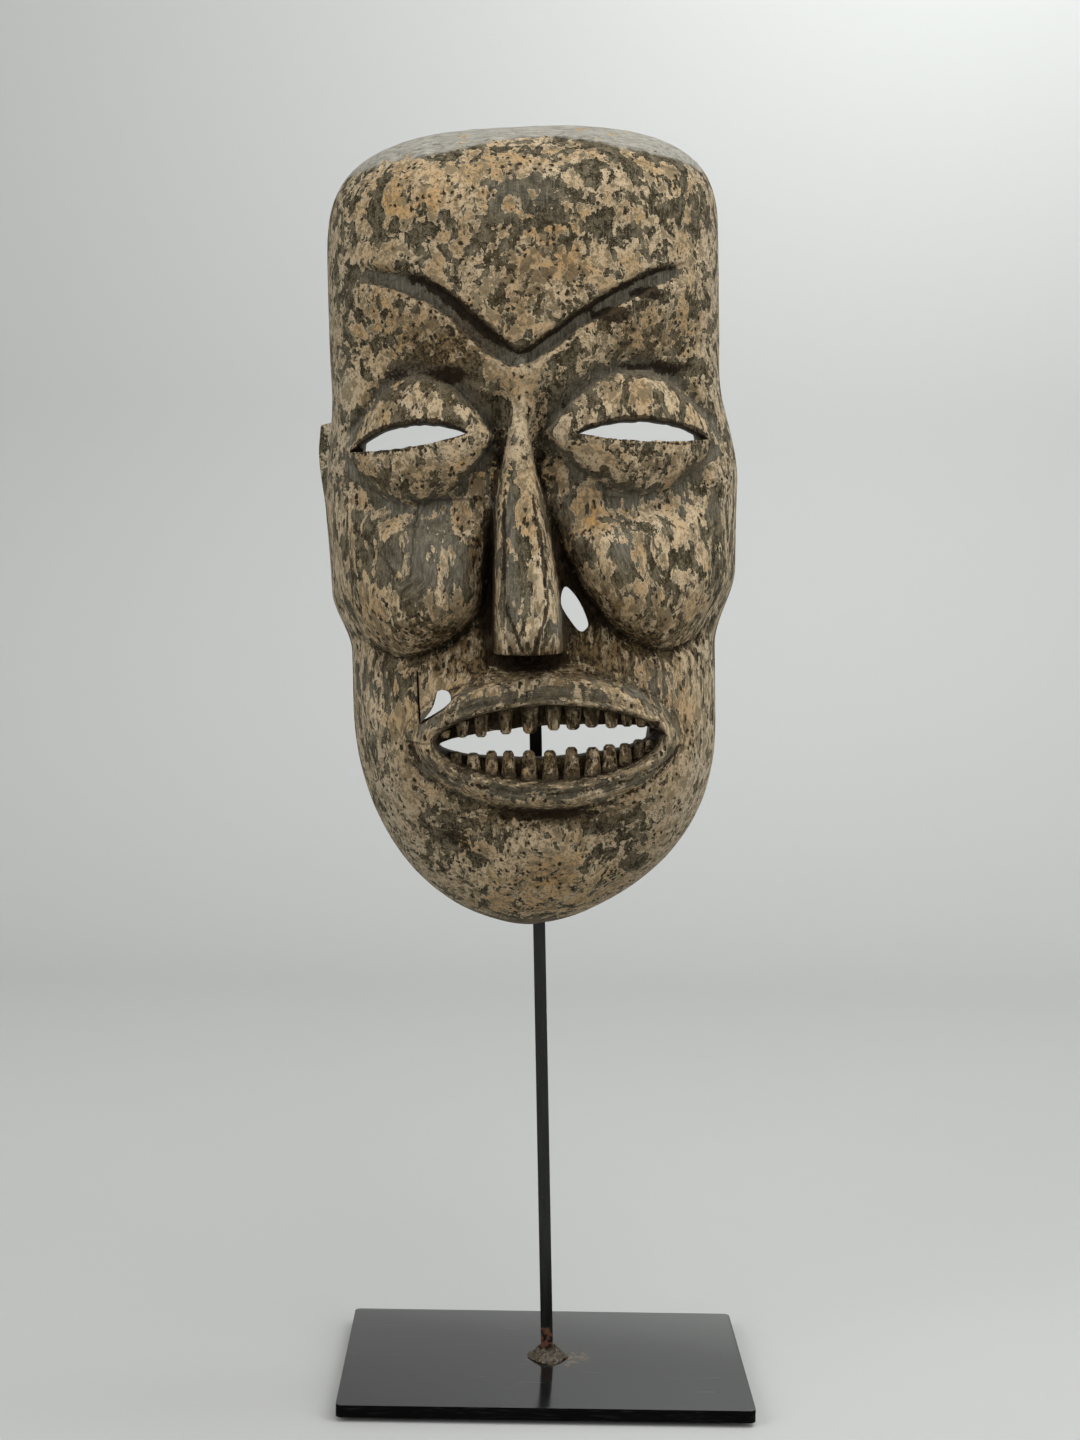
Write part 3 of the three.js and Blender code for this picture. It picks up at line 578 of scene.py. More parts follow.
DARK_PATCHES = [
    (-67, 327, 5, 13, 1.0), (-50, 316, 7, 9, 1.0), (-45, 330, 6, 10, 0.8), (-25, 318, 7, 8, 0.9),
    (-6, 336, 20, 11, 0.9), (10, 334, 6, 7, 0.8), (-62, 305, 17, 5, 0.9), (-82, 298, 4, 13, 0.8),
    (50, 346, 7, 8, 0.7), (62, 330, 5, 8, 0.7), (36, 318, 5, 8, 0.7), (-44, 263, 26, 6, 1.0),
    (33, 283, 9, 5, 1.2), (45, 290, 10, 5, 1.3), (57, 297, 8, 5, 1.2), (66, 263, 20, 6, 1.2),
    (15, 262, 9, 10, 0.9), (-20, 242, 7, 8, 0.8), (14, 242, 8, 7, 0.9), (-46, 176, 24, 22, 1.0),
    (-78, 183, 8, 18, 0.6), (40, 180, 8, 13, 0.9), (44, 168, 9, 9, 0.8), (20, 190, 7, 15, 0.9),
    (69, 177, 4, 17, 0.8), (62, 190, 5, 9, 0.8), (87, 191, 5, 19, 0.8), (-40, 51, 12, 12, 1.1),
    (27, 55, 14, 7, 1.2), (-75, 82, 7, 26, 0.5), (40, 35, 10, 9, 0.6), (58, 118, 16, 6, 0.7),
    (-68, 120, 10, 8, 0.5), (-12, 185, 5, 24, 0.9), (-10, 155, 4, 12, 0.6), (9, 148, 4, 14, 0.9),
    (-14, 146, 4, 12, 0.9), (2, 178, 3, 8, 0.5), (40, 322, 12, 12, 0.4), (72, 330, 8, 14, 0.4),
    (-5, 170, 14, 36, 0.45), (22, 345, 16, 14, 0.4), (66, 340, 22, 14, 0.35), (-4, 322, 12, 12, 0.4),
    (-48, 247, 26, 10, 0.4), (50, 249, 24, 9, 0.3), (-62, 246, 3, 8, 0.8), (-48, 250, 3, 8, 0.7),
    (-34, 246, 3, 8, 0.7), (30, 248, 3, 8, 0.8), (43, 251, 3, 9, 0.8), (56, 250, 3, 8, 0.8),
    (68, 245, 3, 8, 0.8),
]
CRUST_PATCHES = [
    (-40, 340, 24, 14, 1.1), (-64, 318, 14, 9, 0.9), (20, 305, 26, 14, 0.7), (-30, 300, 14, 10, 0.5),
    (70, 310, 14, 22, 0.4), (-72, 275, 12, 20, 0.5), (-55, 247, 18, 8, 0.3), (50, 249, 22, 8, 0.4),
    # The patch at x 0, z 122 is a painted highlight along the upper lip's shelf
    (0, 122, 40, 5, 0.6), (62, 196, 22, 7, 0.7), (25, 198, 5, 8, 0.6), (-30, 160, 9, 14, 0.5),
    (0, 24, 26, 20, 0.8), (64, 70, 14, 24, 0.9), (-66, 74, 12, 24, 0.6), (74, 105, 10, 22, 0.5),
    (-60, 100, 18, 14, 0.4), (-5, 150, 8, 16, 0.5), (0, 225, 3, 30, 0.8), (8, 170, 4, 24, 0.6),
    (-16, 150, 3, 16, 0.6), (19, 199, 3.5, 5, 1.7), (25, 191, 4, 5, 1.8), (29.5, 182, 3.5, 6, 1.6),
    (32, 172, 3, 6, 1.2), (14.5, 181, 1.8, 7, 1.4),
]
OCHRE_PATCHES = [
    (-55, 338, 26, 14, 0.7), (6, 326, 18, 7, 1.0), (18, 308, 16, 10, 0.5), (-70, 285, 16, 14, 0.6),
    (-52, 262, 20, 10, 0.4), (-26, 218, 12, 8, 0.9), (28, 196, 5, 8, 1.0), (42, 198, 5, 6, 0.9),
    (0, 20, 22, 14, 0.6), (-6, 190, 6, 20, 0.4), (60, 176, 4, 8, 0.7),
]
# Brown stain on the brows, lids and mouth, and dark brown painted shade under the nose and beside it, under
# the cheeks and under the lower lip
BROWN_AND_SHADE_PATCHES = [
    (-40, 275, 26, 16, 0.5), (8, 130, 60, 11, 1.0), (-32, 132, 16, 12, 0.8), (30, 150, 10, 14, 0.8),
    (5, 94, 56, 19, 1.0), (-50, 140, 26, 9, 0.6), (55, 141, 24, 8, 0.6), (0, 60, 40, 7, 0.9),
    (-25, 190, 6, 24, 0.5), (10, 200, 5, 20, 0.5), (55, 218, 30, 7, 0.4), (-50, 248, 28, 9, 0.35),
    (50, 251, 26, 8, 0.3), (-55, 215, 24, 8, 0.4), (-24, 165, 6, 34, 0.9), (16, 175, 5, 26, 0.8),
    (24, 150, 8, 14, 0.9), (5, 300, 22, 18, 0.5), (48, 275, 26, 12, 0.5), (-34, 270, 18, 12, 0.5),
    (44, 152, 26, 14, 0.4), (-55, 150, 26, 14, 0.4),
]
SLATE_PATCHES = [
    (-44, 178, 24, 20, 0.8), (10, 152, 4, 18, 0.9), (-11, 186, 4, 24, 0.8), (-9, 155, 4, 10, 0.6),
    (60, 199, 30, 5, 0.8), (-55, 199, 26, 5, 0.8), (42, 182, 8, 8, 0.9), (16, 190, 6, 14, 0.7),
    (-78, 110, 10, 22, 0.5), (-6, 338, 20, 10, 0.5), (-90, 250, 8, 60, 0.4), (12, 205, 6, 10, 0.7),
    (-21, 205, 5, 12, 0.6), (62, 118, 18, 7, 0.7),
]
# Black residue above the eyes and under the right brow, and painted shadow under the nose, under the lower
# lip and in the grooves beside the nose
BLACK_AND_SHADOW_PATCHES = [
    (36, 285, 10, 4, 1.0), (52, 295, 10, 3.5, 1.0), (60, 263, 20, 3, 0.7), (-36, 260, 15, 4, 0.7),
    (-60, 262, 8, 5, 0.4), (18, 165, 4, 22, 0.6), (26, 150, 6, 12, 0.5), (-21, 165, 3, 26, 0.6),
    (14, 252, 5, 12, 0.4), (-3, 130.5, 13, 4, 1.2), (3, 60, 22, 3, 0.6), (-40, 49, 9, 9, 0.4),
    (30, 52, 11, 4, 0.5),
]


def patch_sum(x, z, patches):
    total = np.zeros(np.shape(x))
    for px, pz, half_x, half_z, strength in patches:
        total += strength * np.exp(-(((x - px) / half_x) ** 2 + ((z - pz) / half_z) ** 2) ** 1.5)
    return total


def sunken(x, z):
    """How far each point lies below the mean of the carving around it, in millimetres."""
    here = carving(x, z)
    around = np.zeros(np.shape(x))
    for reach in (3.5, 8):
        for k in range(6):
            turn = math.pi * k / 3 + reach
            around += carving(x + reach * math.cos(turn), z + reach * math.sin(turn)) / 12
    return around - here


def brow_bands(x, z):
    """The bare floor of the brow groove, and its dark upper edge, which is painted shade under the
    forehead's overhang.
    """
    below = brow_drop(x, z)
    near = 1 - ease(62, 80, np.abs(x + 4))
    wider = groove_extra(x)
    floor = ease(0.5, 2, below) * (1 - ease(6 + wider, 7.5 + wider, below)) * near
    edge = hump(below, 0.8 + 0.5 * wider, 1.3 + 0.5 * wider) * near
    return floor, edge * mix(1.0, 0.6, ease(-8, 2, x)) * ease(-60, -44, x)


def facet_edge_shade(x, z):
    """Thin lines of painted shade where the nose's leaf-shaped facet meets its flanks."""
    away = np.abs(x - through(NOSE_CENTRE, z)) - through(NOSE_FACET, z)
    return hump(away, 0.3, 1.1) * ease(NOSE_BOTTOM, NOSE_BOTTOM + 2, z) * ease(224, 192, z)


def slit_edge_shade(x, z, lens):
    """Painted shade: the dark edge round a slit, where the lid's thickness falls in shadow, broader above
    it and at its outer corner.
    """
    along, out = lens_shares(x, z, lens)
    above = z > mix(lens["outer"][1], lens["inner"][1], 0.5)
    half = np.where(above, lens["above"], lens["below"]) * np.clip(1 - along**2, 0.15, 1)
    outward = np.abs(x) / 90
    away = (np.minimum(out, 9) - 1) * half
    return np.where(np.abs(along) < 1, hump(away, 0.5, 1.0 + 0.9 * outward) * np.where(above, 1.0, 0.45), 0)


def stroke_direction(x, t, z):
    """The way the fibres and cuts run: down the face, and along the edges of the cheeks."""
    inside = np.zeros(np.shape(x))
    for corners in (LEFT_CHEEK, RIGHT_CHEEK):
        inside = np.maximum(inside, inside_distance(x, z, rounded_outline(corners)))
    on_cheek = (inside > 0.3) & (inside < 34) & (z < 205) & (np.abs(x) < 84)
    return np.stack([np.where(on_cheek, inside, x) * 1.1, t * 0.4, z * 0.11], 1)


def pattern_height(z):
    """The height that the pattern is drawn at: slower down the cheeks, so that its spots lengthen there."""
    levels = np.arange(-20.0, 420.0)
    pace = 1 - 0.52 * (ease(60, 110, levels) - ease(202, 214, levels)) - 0.35 * hump(levels, 246, 9)
    return np.interp(z, levels, np.cumsum(pace))


def add_attribute(mesh, name, values):
    kind = "FLOAT_VECTOR" if values.ndim == 2 else "FLOAT"
    layer = mesh.attributes.new(name, kind, "POINT")
    layer.data.foreach_set("vector" if values.ndim == 2 else "value", values.astype(np.float32).ravel())


def face_places(mesh):
    """Each point's x, t and z on the face, in millimetres."""
    coords = np.empty(len(mesh.vertices) * 3)
    mesh.vertices.foreach_get("co", coords)
    inverse = np.array(leaning_matrix().inverted())
    local = coords.reshape(-1, 3) @ inverse[:3, :3].T + inverse[:3, 3]
    t = -local[:, 1] - (ROD_SIZE / 2 + TOUCH_GAP)
    return local[:, 0], t, local[:, 2] - CHIN_HEIGHT + CHIN_LEVEL


def side_and_front(x, t, z):
    """How near a point is to the outline, and whether it lies on the carved front rather than inside."""
    level = np.clip(z, 4, CROWN_LEVEL - 3)
    side = np.clip(np.abs(x) / np.maximum(outline_half_width(level, x), 5), 0, 1)
    depth = plain_depth(level, x) * (1 - side**SECTION_POWER) ** (1 / SECTION_POWER)
    return side, 1 - ease(3.5, 7, depth + np.minimum(carving(x, z), 6) - t)


def lit_ledge_and_pale_ridge(x, z):
    """The pale ledge under the brow's groove, a painted highlight where its lower edge catches the light,
    and the pale ridge along the right of the nose's facet.
    """
    ledge = hump(brow_drop(x, z), 8.6 + groove_extra(x), 1.1) * ease(74, 58, np.abs(x + 4))
    ridge = hump(x - through(NOSE_CENTRE, z) - 0.8 * through(NOSE_FACET, z), 0, 1.2)
    return ledge + ridge * ease(140, 150, z) * ease(226, 205, z)


def fibre_direction(x, t, z, lip, top):
    """The way of the fibres everywhere: round the mouth on the lips, and across the crown."""
    angle = np.arctan2((z - LIPS["z"]) * 1.9, x - LIPS["x"])
    round_mouth = np.stack([mouth_share(x, z, LIPS) * 38, t * 0, angle * 6], 1)
    round_crown = np.stack([x * 0.12, t * 0.5, z * 0.9], 1)
    fibre = np.where((lip > 0.02)[:, None], round_mouth, stroke_direction(x, t, z))
    return np.where((top > 0.02)[:, None], round_crown, fibre)


def paint_wood(obj, is_teeth=False):
    """Stores each point's place on the face and how the finish, with its painted shade and light, changes
    there.
    """
    x, t, z = face_places(obj.data)
    side, front = side_and_front(x, t, z)
    floor, edge = brow_bands(x, z)
    inner = mouth_share(x, z, MOUTH)
    lip = (1 - ease(0.98, 1.08, mouth_share(x, z, LIPS))) * ease(0.98, 1.06, inner)
    mouth = 1 - ease(0.9, 1.02, inner)
    creases = np.maximum(eye_crease(x, z, LEFT_EYE), eye_crease(x, z, RIGHT_EYE))
    # Painted shade round the eye slits
    rims = np.maximum(slit_edge_shade(x, z, LEFT_SLIT), slit_edge_shade(x, z, RIGHT_SLIT))
    # The band along the crown, where the crust gives way to pale grey with painted light on the top's curve
    top = ease(353, 367, z + 0.05 * np.abs(x) - 7 * hump(x, 8, 40)) * front
    depth_below = sunken(x, z)
    # Pale lines; the one under the brow is a painted highlight
    pale = lit_ledge_and_pale_ridge(x, z)

    upper = z > LIPS["z"]
    across_lip = (inner - 1) / np.where(upper, 0.8, 0.6)
    lip_band = hump(across_lip, 0.72, 0.2) * np.where(upper, 0.5, 1.5) + hump(across_lip, 0.04, 0.05)
    jaw_side = ease(0.55, 0.85, side) * ease(125, 105, z)
    crust = patch_sum(x, z, CRUST_PATCHES) - patch_sum(x, z, DARK_PATCHES)
    crust = crust + lip * (lip_band - 1.0) + 0.45 * jaw_side
    crust = crust - 1.6 * floor - 1.1 * creases - 0.5 * mouth - 1.9 * top - 2.0 * edge + 1.3 * pale
    # Painted shade: darker where the carving sinks below its surroundings, in the lower lip's dark band,
    # along the nose's facet edges, the brow's undercut edge and round the slits, inside the mouth and in
    # the black patches, some of which are black residue
    shade = 0.7 * np.clip(depth_below / 6, 0, 1) * (1 - floor) * (1 - 0.7 * creases)
    shade = shade + 0.45 * lip * hump(across_lip, 0.3, 0.1) * ~upper + 0.95 * facet_edge_shade(x, z)
    shade = np.clip(shade + edge + rims + patch_sum(x, z, BLACK_AND_SHADOW_PATCHES) + 0.4 * mouth, 0, 1)
    # Brown stain, and painted shade where the brown patches lie in the hollows
    brown = np.clip(patch_sum(x, z, BROWN_AND_SHADE_PATCHES), 0, 1) * (1 - top)
    if is_teeth:
        crust, shade, brown = (np.full(len(x), share) for share in TEETH_FINISH)
    grey = floor + 0.8 * creases + 0.6 * lip + patch_sum(x, z, SLATE_PATCHES)
    ash = ease(0.78, 0.98, side) + 0.6 * ease(110, 80, z) * ease(0.5, 0.8, side)

    attributes = {
        "place": np.stack([x, t, pattern_height(z)], 1) / 10,
        "fibre": fibre_direction(x, t, z, lip, top),
        "crust": crust * front - 2.2 * (1 - front),
        "ochre": np.clip(patch_sum(x, z, OCHRE_PATCHES), 0, 1),
        "brown": brown,
        "grey": np.clip(grey, 0, 1) * front,
        "shade": shade * front,
        # Paler on convex points and along the pale lines, with the brow ledge's painted highlight
        "proud": np.clip(-depth_below / 3 + pale, 0, 1) * front,
        "ash": np.clip(ash, 0, 1),
        "strokes": np.clip(lip + top + 0.5 * ease(215, 200, z), 0, 1),
        "top": top,
        "behind": 1 - front,
    }
    for name, values in attributes.items():
        add_attribute(obj.data, name, values)


class Nodes:
    """A small helper that adds shader nodes to one material and joins them up."""

    def __init__(self, name):
        self.material = bpy.data.materials.new(name)
        self.material.use_nodes = True
        self.tree = self.material.node_tree
        self.surface = self.tree.nodes["Principled BSDF"]

    def put(self, socket, value):
        if isinstance(value, bpy.types.NodeSocket):
            self.tree.links.new(value, socket)
        elif isinstance(value, tuple) and len(value) == 3 and socket.type == "RGBA":
            socket.default_value = (*value, 1)
        else:
            socket.default_value = value

    def add(self, kind, output=0, settings=None, **inputs):
        node = self.tree.nodes.new(kind)
        for key, value in (settings or {}).items():
            setattr(node, key, value)
        for key, value in inputs.items():
            self.put(node.inputs[int(key[1:]) if key[1:].isdigit() else key.replace("_", " ")], value)
        return node.outputs[output]

    def value(self, name):
        return self.add("ShaderNodeAttribute", "Fac", {"attribute_name": name})

    def vector(self, name):
        return self.add("ShaderNodeAttribute", "Vector", {"attribute_name": name})

    def math(self, operation, a, b):
        return self.add("ShaderNodeMath", 0, {"operation": operation}, i0=a, i1=b)

    def plus(self, a, b):
        return self.math("ADD", a, b)

    def minus(self, a, b):
        return self.math("SUBTRACT", a, b)

    def times(self, a, b):
        return self.math("MULTIPLY", a, b)

    def weighted(self, *terms):
        """The sum of several values, each times its weight."""
        total = self.times(*terms[0])
        for value, weight in terms[1:]:
            total = self.plus(total, self.times(value, weight))
        return total

    def coats(self, colour, *coats):
        """A colour with others laid over it in turn, each by a share and a strength."""
        for share, strength, over in coats:
            colour = self.mix(self.times(share, strength), colour, over)
        return colour

    def stretch(self, place, factors):
        return self.add("ShaderNodeVectorMath", 0, {"operation": "MULTIPLY"}, i0=place, i1=factors)

    def ramp(self, value, low, high, to_low=0.0, to_high=1.0):
        settings = {"interpolation_type": "SMOOTHSTEP"}
        return self.add("ShaderNodeMapRange", 0, settings, Value=value, From_Min=low, From_Max=high,
                        To_Min=to_low, To_Max=to_high)

    def mix(self, share, a, b):
        return self.add("ShaderNodeMix", 2, {"data_type": "RGBA"}, i0=share, i6=a, i7=b)

    def noise(self, place, scale, detail=5.0, rough=0.6, distort=0.0):
        return self.add("ShaderNodeTexNoise", 0, None, Vector=place, Scale=scale, Detail=detail,
                        Roughness=rough, Distortion=distort)

    def bump(self, height, distance, strength=1.0):
        return self.add("ShaderNodeBump", 0, None, Height=height, Distance=distance, Strength=strength)

    def finish(self, **inputs):
        for key, value in inputs.items():
            self.put(self.surface.inputs[key.replace("_", " ")], value)
        return self.material


def wood_fields(n):
    """The noises and zones that the wood's colours share."""
    place = n.vector("place")
    fibre = n.vector("fibre")
    zones = ("crust", "ochre", "brown", "grey", "shade", "proud", "ash", "strokes", "top", "behind")
    f = SimpleNamespace(place=place, **{name: n.value(name) for name in zones})
    f.patches = n.noise(place, 1.25, 6, 0.56, 0.3)
    f.flakes = n.noise(place, 6.0, 5, 0.65, 0.2)
    f.specks = n.noise(place, 15, 4, 0.6)
    f.tone = n.noise(place, 2.3, 5, 0.68, 0.3)
    f.grain = n.noise(fibre, 1.0, 6, 0.65, 0.3)
    f.stroke_share = n.times(n.minus(n.noise(fibre, 0.36, 4, 0.6, 0.4), 0.5), f.strokes)
    f.umber = n.mix(n.ramp(f.flakes, 0.42, 0.6), (0.020, 0.011, 0.003), (0.17, 0.11, 0.05))
    return f


def worn_pits(n, f):
    """Small ragged pits in the crust, in some areas only."""
    noise_colour = n.add("ShaderNodeTexNoise", "Color", None, Vector=f.place, Scale=5.0, Detail=3.0)
    wobble = n.stretch(noise_colour, (0.2, 0.2, 0.2))
    wobbled = n.add("ShaderNodeVectorMath", 0, {"operation": "ADD"}, i0=f.place, i1=wobble)
    cells = n.add("ShaderNodeTexVoronoi", "Distance", None, Vector=wobbled, Scale=2.8)
    ragged_cells = n.plus(cells, n.times(n.minus(f.flakes, 0.5), 1.1))
    pitted = n.ramp(n.plus(n.noise(f.place, 0.8, 3), n.times(f.brown, 0.14)), 0.45, 0.54)
    return n.times(n.ramp(ragged_cells, 0.3, 0.2), pitted)


def crust_level(n, f):
    """Where the crust holds: its edge runs along one level of this sum."""
    ovals = n.noise(n.stretch(f.place, (1.0, 1.0, 0.55)), 3.3, 3, 0.5, 0.2)
    spotted = n.ramp(n.noise(f.place, 0.5, 2), 0.36, 0.52)
    dark_ovals = n.times(n.ramp(ovals, 0.55, 0.63), spotted)
    return n.weighted((f.patches, 0.85), (f.flakes, 0.15), (f.crust, 0.085), (f.proud, 0.05),
                      (f.stroke_share, 0.45), (dark_ovals, -0.13))


def bare_wood(n, f):
    """The old dark surface: brown-black, slate on the smooth cuts, paler on the crown with painted light,
    and brown behind.
    """
    slate = n.mix(n.ramp(f.grain, 0.35, 0.65), (0.085, 0.077, 0.056), (0.19, 0.172, 0.132))
    slate = n.mix(n.times(n.ramp(f.tone, 0.5, 0.62), 0.6), slate, (0.055, 0.048, 0.034))
    mottle = n.ramp(n.noise(f.place, 2.4, 6, 0.75), 0.42, 0.62)
    bare = n.mix(mottle, (0.024, 0.0185, 0.0075), (0.122, 0.10, 0.062))
    crown = n.ramp(n.weighted((f.top, 1), (n.minus(f.patches, 0.5), 0.9)), 0.3, 0.6)
    # The crown's pale grey: bare grey wood lightened with painted light where the top curves up
    grey_lit_crown = n.mix(n.ramp(f.grain, 0.3, 0.7), (0.175, 0.165, 0.138), (0.34, 0.325, 0.275))
    raw = n.mix(f.grain, (0.09, 0.065, 0.04), (0.19, 0.145, 0.09))
    return n.coats(
        bare,
        (n.ramp(f.grain, 0.54, 0.68), 0.7, (0.17, 0.15, 0.11)),
        (n.ramp(f.specks, 0.57, 0.64), 0.6, (0.28, 0.22, 0.13)),
        (f.grey, 0.85, slate),
        # Umber over the brown patches, partly painted shade
        (f.brown, 0.8, f.umber),
        (crown, 1, grey_lit_crown),
        (f.behind, 1, raw),
    )


def earth_crust(n, f, rim, pits):
    """The tan crust: ochre in places, ashen at the sides, pale along its rims and pitted."""
    broad = n.ramp(n.noise(f.place, 0.45, 3, 0.5), 0.4, 0.6)
    earth = n.mix(broad, (0.36, 0.245, 0.125), (0.44, 0.34, 0.215))
    olive = n.ramp(n.weighted((f.tone, 1), (f.brown, 0.1)), 0.49, 0.56)
    dirt = n.mix(f.specks, (0.11, 0.08, 0.045), (0.26, 0.195, 0.115))
    return n.coats(
        earth,
        (f.ochre, n.ramp(n.noise(f.place, 1.5, 4), 0.38, 0.55), (0.43, 0.25, 0.09)),
        (f.ash, 0.75, (0.36, 0.315, 0.235)),
        (olive, 0.8, (0.165, 0.13, 0.075)),
        (n.ramp(f.flakes, 0.53, 0.62), 1, dirt),
        (n.ramp(f.specks, 0.57, 0.64), 0.4, (0.07, 0.05, 0.028)),
        (n.times(f.proud, 0.6), n.ramp(f.flakes, 0.52, 0.44), (0.43, 0.35, 0.235)),
        (rim, 0.7, (0.47, 0.385, 0.26)),
        # Umber over the brown patches, partly painted shade
        (f.brown, n.ramp(f.tone, 0.44, 0.56), f.umber),
        (pits, 1, (0.030, 0.022, 0.012)),
    )


def shade_and_residue_share(n, f):
    """The ragged black-brown painted shade in the grooves and hollows, with black residue in places."""
    ragged = n.weighted((f.shade, 1), (n.minus(f.patches, 0.5), 1.8), (n.minus(f.flakes, 0.5), 1.7))
    return n.times(n.ramp(ragged, 0.4, 0.56), n.ramp(f.shade, 0.05, 0.3))


def wood_material():
    """Dry wood, grey and nearly black where bare, under a broken crust of tan and ochre earth."""
    n = Nodes("crusted_wood")
    f = wood_fields(n)
    level = crust_level(n, f)
    crust = n.ramp(level, 0.469, 0.478)
    rim = n.times(crust, n.ramp(level, 0.512, 0.48))
    pits = worn_pits(n, f)
    colour = n.mix(crust, bare_wood(n, f), earth_crust(n, f, rim, pits))
    # Painted shade, with black residue in places, laid over the wood's colour
    colour = n.mix(n.times(shade_and_residue_share(n, f), 0.88), colour, (0.012, 0.0065, 0.0025))
    height = n.weighted((crust, 0.4), (f.flakes, 0.8), (f.grain, 0.5), (f.tone, 0.9),
                        (f.stroke_share, 1.5), (pits, -0.6))
    return n.finish(Base_Color=colour, Roughness=n.ramp(crust, 0, 1, 0.62, 0.88),
                    Normal=n.bump(height, 0.0013), Specular_IOR_Level=0.08)


def place_piece(obj, node, material):
    obj.data.materials.clear()
    obj.data.materials.append(material)
    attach(obj, "root")
    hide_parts(node)


mask = build_mask()
teeth = build_teeth(np.random.default_rng(TEETH_SEED))
paint_wood(mask)
paint_wood(teeth, is_teeth=True)
join(mask, teeth)
place_piece(mask, "mask", wood_material())


# Stand

def node_copy(node, name, bevel):
    """A copy of a frame solid, with its long edges rounded."""
    source = bpy.data.objects[node]
    mesh = source.data.copy()
    obj = bpy.data.objects.new(name, mesh)
    bpy.context.collection.objects.link(obj)
    obj.matrix_world = source.matrix_world.copy()
    mesh.materials.clear()
    merge = obj.modifiers.new("merge", "WELD")
    merge.merge_threshold = 0.00001
    rounded = obj.modifiers.new("rounded", "BEVEL")
    rounded.width = bevel
    rounded.segments = 3
    rounded.limit_method = "ANGLE"
    rounded.angle_limit = math.radians(40)
    rounded.use_clamp_overlap = True
    fix_modifiers(obj, [])
    obj.data.shade_smooth()
    obj.data.set_sharp_from_angle(angle=math.radians(50))
    return obj


def build_weld():
    """A lumpy bead round the rod's foot, made of overlapping runs over a thin spatter skirt."""
    rings, sides = 44, 132
    angles = np.linspace(0, 2 * math.pi, sides, endpoint=False)
    points = []
    for i in range(rings):
        share = i / (rings - 1)
        reach = mix(WELD_RADIUS - 0.3, ROD_SIZE / 2 + 0.3, share)
        edge = 1.5 * value_noise(3 + 2.2 * np.cos(angles), 3 + 2.2 * np.sin(angles), 21) * (1 - share)
        radius = np.minimum(reach - 1.2 * (1 - share) + edge, WELD_RADIUS)
        px, py = radius * np.cos(angles), radius * np.sin(angles)
        runs = 0.5 + 0.5 * np.cos(angles * 6 + 1.2 * value_noise(px / 3, py / 3, 5))
        lumps = value_noise(px / 1.9 + 9, py / 1.9 + 9, 6)
        lumps = lumps + 0.5 * value_noise(px / 0.9 + 20, py / 0.9 + 20, 7)
        body = ease(WELD_RADIUS - 0.4, 3.8, radius) ** 1.15
        height = 0.25 + body * (4.4 + 1.0 * runs + 0.9 * lumps) + 0.25 * (1 - body) * (1 + lumps)
        points.append(np.stack([px, py, PLATE_TOP + np.clip(height, 0.05, WELD_HEIGHT)], 1))
    flat = np.concatenate(points)
    foot_ring = flat[:sides].copy()
    foot_ring[:, 2] = PLATE_TOP + 0.02
    flat = np.concatenate([foot_ring, flat])
    faces = []
    for i in range(rings):
        for j in range(sides):
            k = (j + 1) % sides
            faces.append((i * sides + j, i * sides + k, (i + 1) * sides + k, (i + 1) * sides + j))
    faces.append(tuple(range(sides - 1, -1, -1)))
    faces.append(tuple(range(rings * sides, (rings + 1) * sides)))
    foot = np.array(plate_centre()) + np.array([ROD_OFFSET_X, 0, 0]) * MM
    return new_object("weld_beads", flat * MM + foot, faces)


def weld_material():
    n = Nodes("burnt_weld")
    place = n.add("ShaderNodeTexCoord", "Object")
    blots = n.noise(place, 420, 5, 0.7)
    fine = n.noise(place, 1300, 4, 0.6)
    colour = n.mix(n.ramp(blots, 0.42, 0.6), (0.010, 0.008, 0.005), (0.075, 0.055, 0.032))
    # Pale tan specks: painted glints on the dark weld
    colour = n.mix(n.ramp(fine, 0.59, 0.70), colour, (0.36, 0.29, 0.18))
    return n.finish(Base_Color=colour, Roughness=n.ramp(blots, 0.3, 0.7, 0.25, 0.6), Metallic=0.45,
                    Normal=n.bump(fine, 0.0004, 0.9))


def rod_material():
    """Satin black paint on steel, rusty just above the weld and in specks along the bar."""
    n = Nodes("black_rod")
    place = n.add("ShaderNodeTexCoord", "Object")
    height = n.add("ShaderNodeSeparateXYZ", "Z", None, Vector=place)
    wear = n.noise(place, 420, 5, 0.7)
    low = n.times(n.ramp(height, 0.034, 0.014), 0.24)
    rust = n.ramp(n.plus(wear, low), 0.655, 0.70)
    streaks = n.stretch(place, (900.0, 900.0, 60.0))
    brushed = n.noise(streaks, 1.0, 3)
    paint = n.mix(n.ramp(brushed, 0.4, 0.7), (0.003, 0.003, 0.003), (0.009, 0.009, 0.008))
    colour = n.mix(rust, paint, n.mix(brushed, (0.045, 0.014, 0.006), (0.12, 0.045, 0.018)))
    return n.finish(Base_Color=colour, Roughness=n.ramp(rust, 0, 1, 0.3, 0.85), Specular_IOR_Level=0.35,
                    Normal=n.bump(n.plus(wear, n.times(rust, 0.7)), 0.0002, 0.5))


